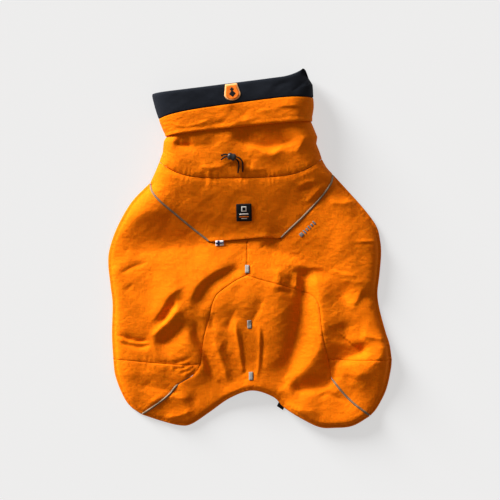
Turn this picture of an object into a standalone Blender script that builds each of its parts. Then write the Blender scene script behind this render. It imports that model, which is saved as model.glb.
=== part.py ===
"""Padded dog parka with a turned-down collar, laid flat with its back side up.

The tables are in millimetres: +X is the right as seen from above with the collar at the top, +Y points
to the collar and +Z is up from the surface that the parka lies on. Each cut piece is one object.
"""

import bmesh
import bpy
import numpy as np
from mathutils import Vector
from mathutils.bvhtree import BVHTree
from mathutils.geometry import delaunay_2d_cdt

MM = 0.001  # the tables' unit in metres

# Driving sizes
WALL = 3.0  # padded shell, wadding and lining sewn as one
BELLY_WALL = 2.5
COLLAR_WALL = 2.5
LINING = 2.2  # collar lining and facing
SEAM_GAP = 0.3
LAYER_GAP = 0.6  # between the collar's layers
MESH_STEP = 10.5  # spacing of the points inside a panel
EDGE_STEP = 9.0  # spacing along seams and hems
PIPING_WIDTH = 2.6
PIPING_RISE = 1.0  # how far the piping stands above the panels
PIPING_TRIM = 0.6  # its ends stop this share of a step before the hem
LABEL_WALL = 0.9
MARK_WALL = 0.7
CORD_DIAMETER = 2.2
HEM_ARCH = 10.0  # lift of the hem over the tail, where the gathers hold it up
HEM_ARCH_AT = (3.0, -212.0)
HEM_ARCH_REACH = (44.0, 40.0)
YOKE_LIP = 1.6  # lift of the yoke's free lower edge
YOKE_LIP_REACH = 7.0
BELLY_INSET = 7.0  # the belly panel ends this far inside the outline, at the side seams
BELLY_RISE = 0.5  # share of the room under the upper panels that its side seams rise

# Seams and hem stretches, each from its first corner to its last. Panels are loops of them.
CURVES = {
    "neck_side_left": [(-136.5, 130.5), (-143, 115), (-150, 100)],
    "back_side_left": [(-150, 100), (-178, 71), (-199, 35), (-211, 2), (-213.5, -22), (-210, -56),
                       (-207, -83), (-208, -128), (-206, -166)],
    "lobe_hem_left": [(-206, -166), (-203, -190), (-193, -217), (-181, -236), (-163.5, -249)],
    "rump_hem": [(-163.5, -249), (-133, -259), (-106, -265.5), (-88, -263.5), (-60, -245), (-30, -224),
                 (3, -212.5), (35, -222.5), (51, -238.5), (81, -257), (105, -268), (126, -269),
                 (154, -266), (181, -251)],
    "lobe_hem_right": [(181, -251), (192, -238), (205, -212), (212, -182), (213.5, -166.5)],
    "back_side_right": [(213.5, -166.5), (210, -143), (204, -124), (195, -90), (192, -66), (195, -38),
                        (197.5, -8), (196, 13), (190, 35), (171, 61), (147, 88), (124.5, 112.5)],
    "neck_side_right": [(124.5, 112.5), (115, 123), (108, 135)],
    "yoke_left": [(-150, 100), (-147, 87), (-136, 73), (-114, 54), (-87, 31.5), (-60, 10.5)],
    "yoke_edge_left": [(-60, 10.5), (-39, 12), (-4.5, 15)],
    "yoke_edge_right": [(-4.5, 15), (18, 17), (45, 15.6)],
    "yoke_right": [(45, 15.6), (61, 31), (80, 49), (106, 77), (121, 98), (124.5, 112.5)],
    "centre_seam": [(-4.5, 15), (-4, -12), (-4.5, -39)],
    "arch_left": [(-4.5, -39), (-21, -47), (-37, -58), (-50, -69), (-56.5, -83), (-60, -98), (-65, -116),
                  (-70.5, -140), (-74, -172)],
    "arch_left_low": [(-74, -172), (-79, -182), (-87, -190.5)],
    "arch_right": [(-4.5, -39), (16, -46), (39, -52), (60, -58), (80, -64), (95, -71), (103.5, -85),
                   (107, -114), (111, -138), (117, -165)],
    "arch_right_low": [(117, -165), (120, -178), (123, -195)],
    "cross_seam_left": [(-206, -166), (-174, -168), (-144, -171), (-99, -174), (-74, -172)],
    "cross_seam_right": [(213.5, -166.5), (189, -167), (150, -167), (117, -165)],
    "hem_seam_left": [(-87, -190.5), (-109, -204), (-122, -219), (-144, -236), (-163.5, -249)],
    "hem_seam_right": [(123, -195), (138, -214), (156, -232), (181, -251)],
}
PIPED = ("yoke_left", "yoke_right", "hem_seam_left", "hem_seam_right")

# Each upper panel as its loop of seams, walked one way round. A minus sign walks a seam backwards.
PANELS = {
    "yoke": ["neck_side_left", "yoke_left", "yoke_edge_left", "yoke_edge_right", "yoke_right",
             "neck_side_right", "-neck_seam"],
    "back_left": ["-yoke_left", "back_side_left", "cross_seam_left", "-arch_left", "-centre_seam",
                  "-yoke_edge_left"],
    "back_right": ["centre_seam", "arch_right", "-cross_seam_right", "back_side_right", "-yoke_right",
                   "-yoke_edge_right"],
    "side_left": ["lobe_hem_left", "-hem_seam_left", "-arch_left_low", "-cross_seam_left"],
    "side_right": ["cross_seam_right", "arch_right_low", "hem_seam_right", "lobe_hem_right"],
    "rump_panel": ["arch_left", "arch_left_low", "hem_seam_left", "rump_hem", "-hem_seam_right",
                   "-arch_right_low", "-arch_right"],
}

# The collar's outer surface, station by station from the neck seam to the top fold: its left and
# right side points, and how far its upper and under sides sag between them.
#            left x,  left y, right x, right y, sag, under sag
COLLAR = {
    "neck_seam": (-136.5, 130.5, 108.0, 135.0, 27, 3),
    "neck_low": (-131.0, 145.0, 104.0, 147.0, 20, 3),
    "neck_middle": (-130.0, 155.0, 99.5, 158.0, 13, 3),
    "below_cuff": (-129.0, 162.0, 101.0, 168.0, 6, 2),
    "cuff_edge": (-126.7, 169.5, 93.0, 194.0, -2, -2),
    "cuff_middle": (-132.0, 183.0, 95.0, 212.0, -4, -4),
    "lining_seam": (-137.0, 195.0, 95.0, 227.0, -6, -6),
    "band_middle": (-142.5, 213.0, 93.5, 246.0, 2, 2),
    "top_fold": (-148.0, 232.5, 84.0, 262.0, 1, 1),
}
COLLAR_EAR = 8.0  # the top fold's right corner stands up by this much
COLLAR_EAR_FROM = 0.7
SHELL_END = 7.6  # the station where the shell ends, inside the lining's fold
STATIONS = list(COLLAR)
RING_POINTS = 20  # points of a collar ring on its upper side, and as many below

# How the upper side swells between the outline and the middle, from the collar down to the hem.
#     y, height at the outline, height of the middle, reach of the swell
SWELL = [
    (290, 17, 29, 15), (250, 17, 31, 16), (200, 16, 34, 17), (150, 13, 36, 18), (120, 6, 36, 22),
    (90, WALL, 34, 25), (60, WALL, 28, 27), (25, WALL, 17, 26), (-2, WALL, 13, 17), (-35, WALL, 18, 22),
    (-70, WALL, 23, 24), (-110, WALL, 24, 24), (-160, WALL, 21, 22), (-200, WALL, 17, 18),
    (-280, WALL, 14, 14),
]

# Ridges (rise above 0) and troughs (below 0), each along a path, with the width of its left and right
# slopes as the path runs and the share of its length over which it dies away.
#     name, path, rise, left, right, fade
FOLDS = [
    ("left shoulder crest", [(-178, 42), (-150, 58), (-112, 52)], 5, 22, 30, 0.4),
    ("left shoulder valley", [(-200, -4), (-147, -6), (-52, 10)], -4, 26, 22, 0.3),
    ("arch crest", [(-84, -88), (-86, -66), (-73, -47), (-57, -35), (-41, -24), (-16, -16)], 6, 28, 9, 0.25),
    ("left ridge", [(-118, -64), (-104, -98), (-90, -134), (-64, -176)], 8, 15, 12, 0.25),
    ("left trough", [(-82, -100), (-82, -128), (-66, -160), (-44, -198)], -5, 10, 13, 0.25),
    ("ridge beside arch seam", [(-66, -124), (-50, -165), (-34, -202)], 4, 7, 9, 0.3),
    ("upper pinch", [(-116, -66), (-128, -92), (-144, -118)], -5, 8, 7, 0.3),
    ("pinch ridge", [(-112, -86), (-128, -106), (-154, -130)], 5, 7, 7, 0.3),
    ("lower pinch", [(-104, -94), (-122, -116), (-148, -140)], -5, 10, 9, 0.3),
    ("right deep valley", [(90, -28), (82, -64), (70, -106), (57, -144), (46, -206)], -9, 9, 24, 0.2),
    ("right long ridge", [(98, -36), (105, -80), (106, -122), (98, -155), (80, -180), (44, -212)], 7, 22, 12,
     0.2),
    ("right flank valley", [(131, -108), (119, -138), (113, -164), (122, -198)], -6, 12, 14, 0.3),
    ("right flank crest", [(203, -126), (188, -163), (172, -192)], 5, 16, 30, 0.3),
    ("left gather", [(-17, -104), (-21, -120), (-14, -177)], 3, 6, 6, 0.3),
    ("hem gather", [(-10, -178), (-8, -208)], -3, 6, 6, 0.4),
    ("right gather", [(15, -120), (14, -177), (10, -206)], 2.5, 6, 6, 0.3),
    ("right upper trough", [(60, -12), (90, -15), (104, -29), (126, -41)], -4, 12, 12, 0.3),
    ("right upper crest", [(150, 12), (172, 15), (198, 13)], 3, 8, 10, 0.3),
    ("right shoulder ridge", [(112, 74), (135, 69), (162, 72)], 3, 10, 12, 0.3),
    ("left low crease", [(-194, -134), (-172, -138), (-150, -150)], -3, 8, 8, 0.3),
    ("right low ridge", [(98, -224), (116, -217), (136, -224), (152, -233)], 3, 7, 9, 0.3),
    ("collar hollow", [(-36, 170), (0, 160), (30, 150), (62, 172)], -7, 14, 11, 0.3),
    ("collar ridge", [(-31, 164), (25, 136), (52, 152), (92, 178)], 5, 10, 16, 0.2),
    ("left collar hollow", [(-112, 162), (-84, 152), (-52, 160)], -4, 12, 12, 0.3),
]
LEAST_HEIGHT = 7.0  # of the upper side, away from its hem, so that it clears the belly panel
HEM_RISE_REACH = 4.0
FOLD_STEP = 5.0  # spacing of the points on a fold's path
FOLD_POWER = 1.5  # how sharp a fold's crest is

# The belly panel: a bib from the throat that narrows between the front legs and widens to the flanks.
# Its throat and sides follow the neck seam and the outline, and these paths cut its leg openings and
# its rear edge.
LEG_CUT_LEFT = [(-143, 96), (-118, 90), (-86, 74), (-68, 48), (-69, 20), (-92, 2), (-135, -7), (-203, -9)]
LEG_CUT_RIGHT = [(190, -4), (150, 2), (108, 5), (68, 14), (50, 36), (53, 62), (76, 84), (121, 105)]
THROAT = [(101, 128), (-127, 123)]
REAR_EDGE = [(-203, -92), (-165, -116), (-90, -130), (-8, -134), (80, -129), (150, -112), (188, -86)]

BELLY_RISE_REACH = 5.0
BELLY_STEP = 23.0  # spacing of the points inside the belly panel
LEAST_LIFT = 0.05  # the belly panel rests on the surface where it would rise less than this

# Small pieces laid on the panels: middle, width, height and turn in degrees.
NECK_LABEL = (-9.0, 54.5, 23.0, 26.0, 1.5)
FLAG_TAB = (-45.5, 4.6, 13.5, 8.0, 2.0)
SPINE_MARKS = [(-4.2, -30.0, 6.5, 12.5, 0.0), (-0.8, -113.0, 6.5, 12.5, 2.0), (1.5, -190.5, 6.5, 12.5, 2.0)]
COLLAR_TAG = (-26.5, 233.0, 24.5, 25.0, 8.0)
LAID_STEP = 4.0
TAG_STEP = 2.5
LAID_REACH = 2.0  # a laid piece clears what lies this far round each of its points
HEM_TAB_STEP = 5.0
HEM_TAB = [(44.0, -229.5), (53.0, -236.0), (49.5, -242.5), (40.5, -236.5)]

# Cord lock and the two strands of the drawcord, which leave the neck casing, pass the lock side by
# side and end free beyond it. The last value is the height over the collar.
LOCK_MIDDLE = (-27.0, 137.0, 5.4)
LOCK_LENGTH = 13.0
LOCK_HALF_WIDTH = (5.6, 3.4)  # middle, ends
LOCK_HALF_HEIGHT = (4.4, 3.0)
LOCK_BORE = (3.1, 1.6)  # half sizes of the slot through it
LOCK_TURN = 166.0
LOCK_SIDES = 20
IN_LOCK = "in lock"  # marks the points of a strand that lie at the height of the lock's middle
STRANDS = {
    "drawcord_upper": [(-11, 115, 1.6), (-10.6, 121, 3.2), (-10.8, 127, 4.6), (-13.0, 132.6, 5.2),
                       (-16.6, 135.6, IN_LOCK), (-20.2, 136.7, IN_LOCK), (-26.6, 138.4, IN_LOCK),
                       (-33.0, 140.0, IN_LOCK), (-38.0, 140.4, 4.2), (-43.0, 138.8, 2.6)],
    "drawcord_lower": [(-18, 113.5, 1.6), (-17.2, 119, 3.2), (-16.6, 124.6, 4.6), (-17.4, 129.8, 5.2),
                       (-20.6, 133.5, IN_LOCK), (-27.4, 135.6, IN_LOCK), (-33.6, 137.1, IN_LOCK),
                       (-38.0, 136.4, 4.2), (-43.0, 132.6, 2.6)],
}
STRAND_STEP = 5.0

# Finish: colour, roughness, metallic
FINISHES = {
    "orange_shell": ((0.90, 0.22, 0.01, 1.0), 0.72, 0.0),
    "dark_lining": ((0.020, 0.024, 0.032, 1.0), 0.85, 0.0),
    "grey_piping": ((0.30, 0.30, 0.29, 1.0), 0.45, 0.2),
    "black_trim": ((0.010, 0.010, 0.012, 1.0), 0.55, 0.0),
    "woven_label": ((0.014, 0.014, 0.016, 1.0), 0.85, 0.0),
    "white_tab": ((0.80, 0.80, 0.80, 1.0), 0.75, 0.0),
}


# ---- curves and heights ----

def smooth_curve(points, step):
    """Points about a step apart on a smooth curve through the given ones, ends kept."""
    given = [np.array(p, float) for p in points]
    given = [2 * given[0] - given[1]] + given + [2 * given[-1] - given[-2]]
    curve = []
    for before, start, end, after in zip(given, given[1:], given[2:], given[3:]):
        count = max(1, round(np.linalg.norm(end - start) / step))
        for t in np.arange(count) / count:
            curve.append(0.5 * (2 * start + (end - before) * t
                                + (2 * before - 5 * start + 4 * end - after) * t**2
                                + (3 * start - before - 3 * end + after) * t**3))
    return np.array(curve + [given[-2]])


def nearest_on(curve, at):
    """Distance from a point to a curve, the side it lies on (+ is left) and how far along, 0 to 1."""
    start, run = curve[:-1], np.diff(curve, axis=0)
    length = np.hypot(run[:, 0], run[:, 1])
    share = np.clip(((at - start) * run).sum(axis=1) / length**2, 0, 1)
    away = at - start - run * share[:, None]
    distance = np.hypot(away[:, 0], away[:, 1])
    i = int(distance.argmin())
    side = run[i, 0] * away[i, 1] - run[i, 1] * away[i, 0]
    return distance[i], side, (length[:i].sum() + share[i] * length[i]) / length.sum()


def squares_to(curve):
    """At each point of a curve, the direction square to it on its left."""
    run = np.gradient(curve, axis=0)
    return np.stack([-run[:, 1], run[:, 0]], axis=1) / np.hypot(run[:, 0], run[:, 1])[:, None]


def joined(names, step=EDGE_STEP):
    """One line along several seams that follow each other, with no point twice."""
    line = np.vstack([smooth_curve(CURVES[name], step) for name in names])
    return line[np.r_[True, np.hypot(*np.diff(line, axis=0).T) > 1e-6]]


def smoothstep(t):
    t = np.clip(t, 0, 1)
    return t * t * (3 - 2 * t)


def collar_place(s, u, above, inwards=0.0):
    """Where a point of the collar lies in plan: station, place across from -1 to 1, side and depth in."""
    i = min(int(s), len(STATIONS) - 2)
    rows = [np.array(COLLAR[STATIONS[k]], float) for k in (i, i + 1)]
    row = rows[0] + (rows[1] - rows[0]) * (s - i)
    left, right = row[0:2], row[2:4]
    width = np.linalg.norm(right - left)
    across = (right - left) / width
    square = np.array([-across[1], across[0]])
    dip = row[4 if above else 5] * (1 - u**4)
    at_fold = max(s - SHELL_END, 0.0) / (len(STATIONS) - 1 - SHELL_END)
    dip -= COLLAR_EAR * at_fold * max((u - COLLAR_EAR_FROM) / (1 - COLLAR_EAR_FROM), 0.0)**2
    return 0.5 * (left + right) - square * dip + across * u * (0.5 * width - inwards)


def collar_side(column):
    return [row[column:column + 2] for row in COLLAR.values()]


CURVES["neck_seam"] = [collar_place(0, u, True) for u in np.linspace(-1, 1, 13)]
FOLD_CURVES = [(smooth_curve(path, FOLD_STEP), *shape) for _, path, *shape in FOLDS]
BODY_CURVE = joined(["neck_side_left", "back_side_left", "lobe_hem_left", "rump_hem", "lobe_hem_right",
                     "back_side_right", "neck_side_right"])
SIDE_CURVE = np.vstack([collar_side(0)[:0:-1], BODY_CURVE, collar_side(2)[1:]])
YOKE_EDGE = joined(["yoke_edge_left", "yoke_edge_right"])
SWELL_ROWS = np.array(SWELL[::-1], float)
SWELL_SLOPES = np.gradient(SWELL_ROWS, SWELL_ROWS[:, 0], axis=0)


def swell_at(y):
    """The swell table's three values at y, on a smooth curve through its rows."""
    i = int(np.clip(np.searchsorted(SWELL_ROWS[:, 0], y) - 1, 0, len(SWELL_ROWS) - 2))
    low, high = SWELL_ROWS[i], SWELL_ROWS[i + 1]
    gap = high[0] - low[0]
    t = float(np.clip((y - low[0]) / gap, 0, 1))
    row = ((2 * t**3 - 3 * t**2 + 1) * low + (t**3 - 2 * t**2 + t) * gap * SWELL_SLOPES[i]
           + (3 * t**2 - 2 * t**3) * high + (t**3 - t**2) * gap * SWELL_SLOPES[i + 1])
    return row[1:]


def hem_lift(x, y):
    """How far the gathers hold the hem up over the tail."""
    arch_x = (x - HEM_ARCH_AT[0]) / HEM_ARCH_REACH[0]
    arch_y = (y - HEM_ARCH_AT[1]) / HEM_ARCH_REACH[1]
    return HEM_ARCH * np.exp(-arch_x**2 - arch_y**2)


def upper_height(x, y):
    """Height of the parka's upper side over the surface that it lies on."""
    at = np.array([x, y], float)
    from_side = nearest_on(SIDE_CURVE, at)[0]
    edge, middle, reach = swell_at(y)
    edge += hem_lift(x, y)
    height = edge + (middle - edge) * (1 - np.exp(-from_side / reach))
    for curve, rise, left, right, fade in FOLD_CURVES:
        distance, side, along = nearest_on(curve, at)
        width = left if side > 0 else right
        if distance < 4 * width:
            ends = smoothstep(along / fade) * smoothstep((1 - along) / fade)
            height += rise * ends * np.exp(-(distance / width)**FOLD_POWER)
    least = edge + (LEAST_HEIGHT - WALL) * (1 - np.exp(-from_side / HEM_RISE_REACH))
    return max(height, least)


# ---- flat outlines ----

def walk(loop):
    """The closed outline of a loop of seams, and for each point whether a piped seam meets it."""
    points, piped = [], []
    for seam in loop:
        name = seam.lstrip("-")
        curve = smooth_curve(CURVES[name], EDGE_STEP)
        points.extend(curve[:-1] if seam == name else curve[:0:-1])
        piped.extend([name in PIPED] * (len(curve) - 1))
    return np.array(points), [now or before for now, before in zip(piped, [piped[-1]] + piped)]


def signed_area(outline):
    after = np.roll(outline, -1, axis=0)
    return 0.5 * float((outline[:, 0] * after[:, 1] - outline[:, 1] * after[:, 0]).sum())


def inset(outline, distances):
    """A closed outline with each point moved inwards by its distance."""
    turn = 1 if signed_area(outline) > 0 else -1
    before, after = np.roll(outline, 1, axis=0), np.roll(outline, -1, axis=0)
    moved = []
    for point, back, ahead, distance in zip(outline, before, after, distances):
        arrive = (point - back) / np.linalg.norm(point - back)
        leave = (ahead - point) / np.linalg.norm(ahead - point)
        inwards = turn * np.array([-(arrive + leave)[1], (arrive + leave)[0]])
        inwards /= max(np.linalg.norm(inwards), 1e-6)
        square = turn * np.array([-arrive[1], arrive[0]])
        moved.append(point + inwards * distance / max(float(inwards @ square), 0.6))
    return np.array(moved)


def inside(outline, at):
    after = np.roll(outline, -1, axis=0)
    crossing = (outline[:, 1] > at[1]) != (after[:, 1] > at[1])
    a, b = outline[crossing], after[crossing]
    crossed_at = (b[:, 0] - a[:, 0]) * (at[1] - a[:, 1]) / (b[:, 1] - a[:, 1]) + a[:, 0]
    return np.count_nonzero(at[0] < crossed_at) % 2 == 1


def inner_points(outline, step, along_folds):
    """Points to mesh a panel with: along each fold's crest and feet, then an even spread between."""
    foot, row_step, least_gap, rim_gap = 0.8, 0.87 * step, 0.62 * step, 0.5 * step
    wanted = []
    if along_folds:
        for curve, _, left, right, _ in FOLD_CURVES:
            for shift in (0, foot * left, -foot * right):
                wanted.extend((curve + squares_to(curve) * shift)[::2])
    low, high = outline.min(axis=0), outline.max(axis=0)
    for row, y in enumerate(np.arange(low[1] + rim_gap, high[1], row_step)):
        for x in np.arange(low[0] + (0.25 + 0.5 * (row % 2)) * step, high[0], step):
            wanted.append(np.array([x, y]))
    rim = np.vstack([outline, outline[:1]])
    kept = np.empty((0, 2))
    for point in wanted:
        clear = inside(outline, point) and nearest_on(rim, point)[0] > rim_gap
        if clear and np.hypot(*(kept - point).T).min(initial=step) > least_gap:
            kept = np.vstack([kept, point])
    return kept


# ---- solids ----

def finish(name):
    material = bpy.data.materials.get(name)
    if material is None:
        colour, roughness, metallic = FINISHES[name]
        material = bpy.data.materials.new(name)
        material.use_nodes = True
        shader = material.node_tree.nodes["Principled BSDF"]
        shader.inputs["Base Color"].default_value = colour
        shader.inputs["Roughness"].default_value = roughness
        shader.inputs["Metallic"].default_value = metallic
        material.diffuse_color = colour
    return material


def add_object(name, bm, finish_name):
    bmesh.ops.recalc_face_normals(bm, faces=bm.faces)
    bmesh.ops.scale(bm, vec=(MM, MM, MM), verts=bm.verts)
    mesh = bpy.data.meshes.new(name)
    bm.to_mesh(mesh)
    bm.free()
    mesh.shade_smooth()
    mesh.set_sharp_from_angle(angle=0.9)
    mesh.materials.append(finish(finish_name))
    obj = bpy.data.objects.new(name, mesh)
    bpy.context.collection.objects.link(obj)
    return obj


def sheet_solid(name, outline, points, under, over, finish_name):
    """A closed sheet: its outline filled, extruded up, and both sides set to their heights."""
    spots = [Vector(p) for p in np.vstack([outline, points]) if len(p)]
    corners = list(range(len(outline)))
    edges = [(i, (i + 1) % len(outline)) for i in corners]
    flat, _, triangles, *_ = delaunay_2d_cdt(spots, edges, [corners], 1, 1e-4)
    bm = bmesh.new()
    low = [bm.verts.new((x, y, 0.0)) for x, y in flat]
    for triangle in triangles:
        bm.faces.new([low[i] for i in triangle])
    grown = bmesh.ops.extrude_face_region(bm, geom=list(bm.faces), use_keep_orig=True)
    high = [item for item in grown["geom"] if isinstance(item, bmesh.types.BMVert)]
    for vert in high:
        vert.co.z = over(vert.co.x, vert.co.y)
    for vert in low:
        vert.co.z = under(vert.co.x, vert.co.y)
    return add_object(name, bm, finish_name)


def upper_panel(name, loop):
    outline, piped = walk(loop)
    at_piping = 0.5 * PIPING_WIDTH + SEAM_GAP
    outline = inset(outline, [at_piping if p else 0.5 * SEAM_GAP for p in piped])

    def over(x, y):
        height = upper_height(x, y)
        if name == "yoke":
            height += YOKE_LIP * np.exp(-(nearest_on(YOKE_EDGE, np.array([x, y]))[0] / YOKE_LIP_REACH)**2)
        return height

    return sheet_solid(name, outline, inner_points(outline, MESH_STEP, True),
                       lambda x, y: over(x, y) - WALL, over, "orange_shell")


def belly_outline():
    """The belly panel's outline: its cut edges, joined by stretches of the side seams."""
    sides = inset(BODY_CURVE, [BELLY_INSET] * len(BODY_CURVE))
    cuts = [THROAT, LEG_CUT_LEFT, REAR_EDGE, LEG_CUT_RIGHT]
    stretches = []
    for cut, after in zip(cuts, cuts[1:] + cuts[:1]):
        first = int(np.hypot(*(sides - cut[-1]).T).argmin())
        last = int(np.hypot(*(sides - after[0]).T).argmin())
        stretches += [smooth_curve(cut, EDGE_STEP), sides[first + 1:last]]
    return np.vstack(stretches)


def belly_panel():
    """The under side: flat where it rests, its side seams rising to just under the upper panels."""
    outline = belly_outline()

    def lift(x, y):
        from_seam = max(nearest_on(SIDE_CURVE, np.array([x, y], float))[0] - BELLY_INSET, 0.0)
        room = max(upper_height(x, y) - WALL - SEAM_GAP - BELLY_WALL, 0.0)
        rise = BELLY_RISE * room * np.exp(-from_seam / BELLY_RISE_REACH)
        return rise if rise > LEAST_LIFT else 0.0

    return sheet_solid("belly_panel", outline, inner_points(outline, BELLY_STEP, False), lift,
                       lambda x, y: lift(x, y) + BELLY_WALL, "orange_shell")


def collar_point(s, u, above, inwards, flare):
    """A point of the collar: station, place across from -1 to 1, side, depth in and lift of its edge."""
    outer = collar_place(s, u, above)
    x, y = collar_place(s, u, above, inwards)
    round_off = (1 - u * u)**0.25
    if above:
        return x, y, upper_height(*outer) + (flare - inwards) * round_off
    edge = swell_at(outer[1])[0]
    return x, y, edge - (edge - inwards) * round_off


def collar_ring(bm, s, inwards, flare):
    """One ring of verts round the collar: over its upper side and back under it."""
    steps = np.linspace(-1, 1, RING_POINTS + 1)
    across = 0.5 * steps + 0.5 * np.sin(0.5 * np.pi * steps)
    places = [(u, True) for u in across] + [(u, False) for u in across[-2:0:-1]]
    return [bm.verts.new(collar_point(s, u, above, inwards, flare)) for u, above in places]


def loft(bm, rings):
    """Faces from each ring of verts to the next, and from the last back to the first."""
    count = len(rings[0])
    for ring, after in zip(rings, rings[1:] + rings[:1]):
        for i in range(count):
            j = (i + 1) % count
            bm.faces.new([ring[i], ring[j], after[j], after[i]])


def collar_piece(name, profile, finish_name):
    """A piece that runs round the collar: a closed profile of stations, depths and lifts."""
    bm = bmesh.new()
    loft(bm, [collar_ring(bm, *row) for row in profile])
    return add_object(name, bm, finish_name)


def collar():
    under = LINING + LAYER_GAP  # depth of the shell below the turned-down cuff
    deep = under + COLLAR_WALL + LAYER_GAP  # depth of the lining inside the tube, on its upper face
    bottom = deep + LINING  # and on its under face
    # station, depth, lift
    outer = [(0.04, 0, 0), (0.5, 0, 0), (1, 0, 0), (1.6, 0, 0), (2.3, 0, 0), (3, 0, 0), (3.5, 1.2, 0),
             (4, under, 0), (5, under, 0), (6, under, 0), (7, under, 0), (SHELL_END, under, 0)]
    inner = [(s, depth + COLLAR_WALL, lift) for s, depth, lift in outer[::-1]]
    collar_piece("collar_shell", outer + inner, "orange_shell")
    collar_piece("collar_facing", [
        (4, 0, 3.2), (4.4, 0, 1.6), (5, 0, 0), (5.5, 0, 0), (5.98, 0, 0),
        (5.98, LINING, 0), (5.5, LINING, 0), (5, LINING, 0), (4.4, LINING, 1.6), (4, LINING, 3.2),
    ], "orange_shell")
    collar_piece("collar_lining", [
        (6.01, 0, 0), (7, 0, 0), (SHELL_END, 0, 0), (7.9, 0.8, 0), (8, 0.5 * bottom, 0),
        (7.9, bottom - 0.8, 0), (SHELL_END, bottom, 0), (7, bottom, 0), (6, bottom, 0), (5, bottom, 0),
        (4.2, bottom, 0),
        (4.2, deep, 0), (5, deep, 0), (6, deep, 0), (7, deep, 0), (SHELL_END, deep, 0), (7.66, deep, 0),
        (7.7, 0.5 * bottom, 0), (7.66, LINING, 0), (SHELL_END, LINING, 0), (7, LINING, 0),
        (6.01, LINING, 0),
    ], "dark_lining")


def piping(name, seam):
    """A covered cord sewn into a seam, between the edges of two panels."""
    curve = smooth_curve(CURVES[seam], EDGE_STEP)
    square = squares_to(curve)
    curve[0] += PIPING_TRIM * (curve[1] - curve[0])
    curve[-1] += PIPING_TRIM * (curve[-2] - curve[-1])
    half = 0.5 * PIPING_WIDTH
    outline = np.vstack([curve + square * half, (curve - square * half)[::-1]])

    def over(x, y):
        off_middle = nearest_on(curve, np.array([x, y]))[0] / half
        return upper_height(x, y) + PIPING_RISE * np.sqrt(max(1 - 0.75 * off_middle**2, 0.0))

    return sheet_solid(name, outline, curve[1:-1], lambda x, y: upper_height(x, y) - WALL, over,
                       "grey_piping")


def placed(shape, x, y, degrees):
    """A flat shape round the origin, turned and moved to its place."""
    turn = np.radians(degrees)
    spin = np.array([[np.cos(turn), -np.sin(turn)], [np.sin(turn), np.cos(turn)]])
    return np.array(shape) @ spin.T + (x, y)


def rectangle(x, y, width, height, degrees):
    w, h = 0.5 * width, 0.5 * height
    return placed([(-w, -h), (w, -h), (w, h), (-w, h)], x, y, degrees)


def closed_curve(corners, step):
    ring = list(corners) + [corners[0]]
    return np.vstack([smooth_curve([a, b], step)[:-1] for a, b in zip(ring, ring[1:])])


def surface_of(objects):
    """A function for the height of the highest of these objects at a place."""
    trees = []
    for obj in objects:
        bm = bmesh.new()
        bm.from_mesh(obj.data)
        trees.append(BVHTree.FromBMesh(bm))
        bm.free()

    def height(x, y):
        hits = [tree.ray_cast(Vector((x * MM, y * MM, 1.0)), Vector((0, 0, -1)))[0] for tree in trees]
        return max((hit.z / MM for hit in hits if hit is not None), default=0.0)

    return height


def laid_piece(name, corners, carriers, wall, finish_name, step=LAID_STEP):
    """A label, tab or mark that lies on panels, made from their points moved out."""
    outline = closed_curve(corners, step)
    carried = surface_of(carriers)
    around = [(0, 0)] + [(LAID_REACH * np.cos(a), LAID_REACH * np.sin(a)) for a in np.arange(8) * np.pi / 4]

    def under(x, y):
        return max(carried(x + dx, y + dy) for dx, dy in around) + SEAM_GAP

    return sheet_solid(name, outline, inner_points(outline, step, False), under,
                       lambda x, y: under(x, y) + wall, finish_name)


def collar_tag(lining):
    """The tag on the lining band: straight at the fold, with a round lower end."""
    x, y, width, height, degrees = COLLAR_TAG
    narrow, wide, top = 0.36 * width, 0.5 * width, 0.5 * height
    round_from = -0.12 * height
    shape = [(-narrow, top), (-wide, round_from)]
    shape += [(wide * np.cos(a), round_from + (top + round_from) * np.sin(a))
              for a in np.radians(np.arange(200, 341, 20))]
    shape += [(wide, round_from), (narrow, top)]
    return laid_piece("collar_tag", placed(shape, x, y, degrees), [lining], LABEL_WALL, "orange_shell",
                      TAG_STEP)


def hem_tab():
    """A folded ribbon that is caught under the hem and sticks out of it."""
    outline = closed_curve(HEM_TAB, HEM_TAB_STEP)

    def over(x, y):
        return max(hem_lift(x, y) - SEAM_GAP, LABEL_WALL)

    return sheet_solid("hem_tab", outline, np.empty((0, 2)), lambda x, y: over(x, y) - LABEL_WALL, over,
                       "woven_label")


def lock_height():
    x, y, over_collar = LOCK_MIDDLE
    return upper_height(x, y) + over_collar


def cord_lock():
    """The cord lock: a barrel that is thickest in its middle, with a slot through it for both strands."""
    turn = np.radians(LOCK_TURN)
    along = Vector((np.cos(turn), np.sin(turn), 0))
    across = Vector((-np.sin(turn), np.cos(turn), 0))
    middle = Vector((*LOCK_MIDDLE[:2], lock_height()))
    half_length = 0.5 * LOCK_LENGTH
    profile = []  # place along, half width, half height
    for t in np.linspace(-1, 1, 7):
        sizes = [end + (most - end) * (1 - t**4) for most, end in (LOCK_HALF_WIDTH, LOCK_HALF_HEIGHT)]
        profile.append((half_length * t, *sizes))
    profile += [(half_length, *LOCK_BORE), (-half_length, *LOCK_BORE)]
    angles = np.linspace(0, 2 * np.pi, LOCK_SIDES, endpoint=False)
    bm = bmesh.new()
    rings = []
    for reach, half_width, half_height in profile:
        rings.append([bm.verts.new(middle + along * reach + across * half_width * np.cos(a)
                                   + Vector((0, 0, half_height * np.sin(a)))) for a in angles])
    loft(bm, rings)
    return add_object("cord_lock", bm, "black_trim")


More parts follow.
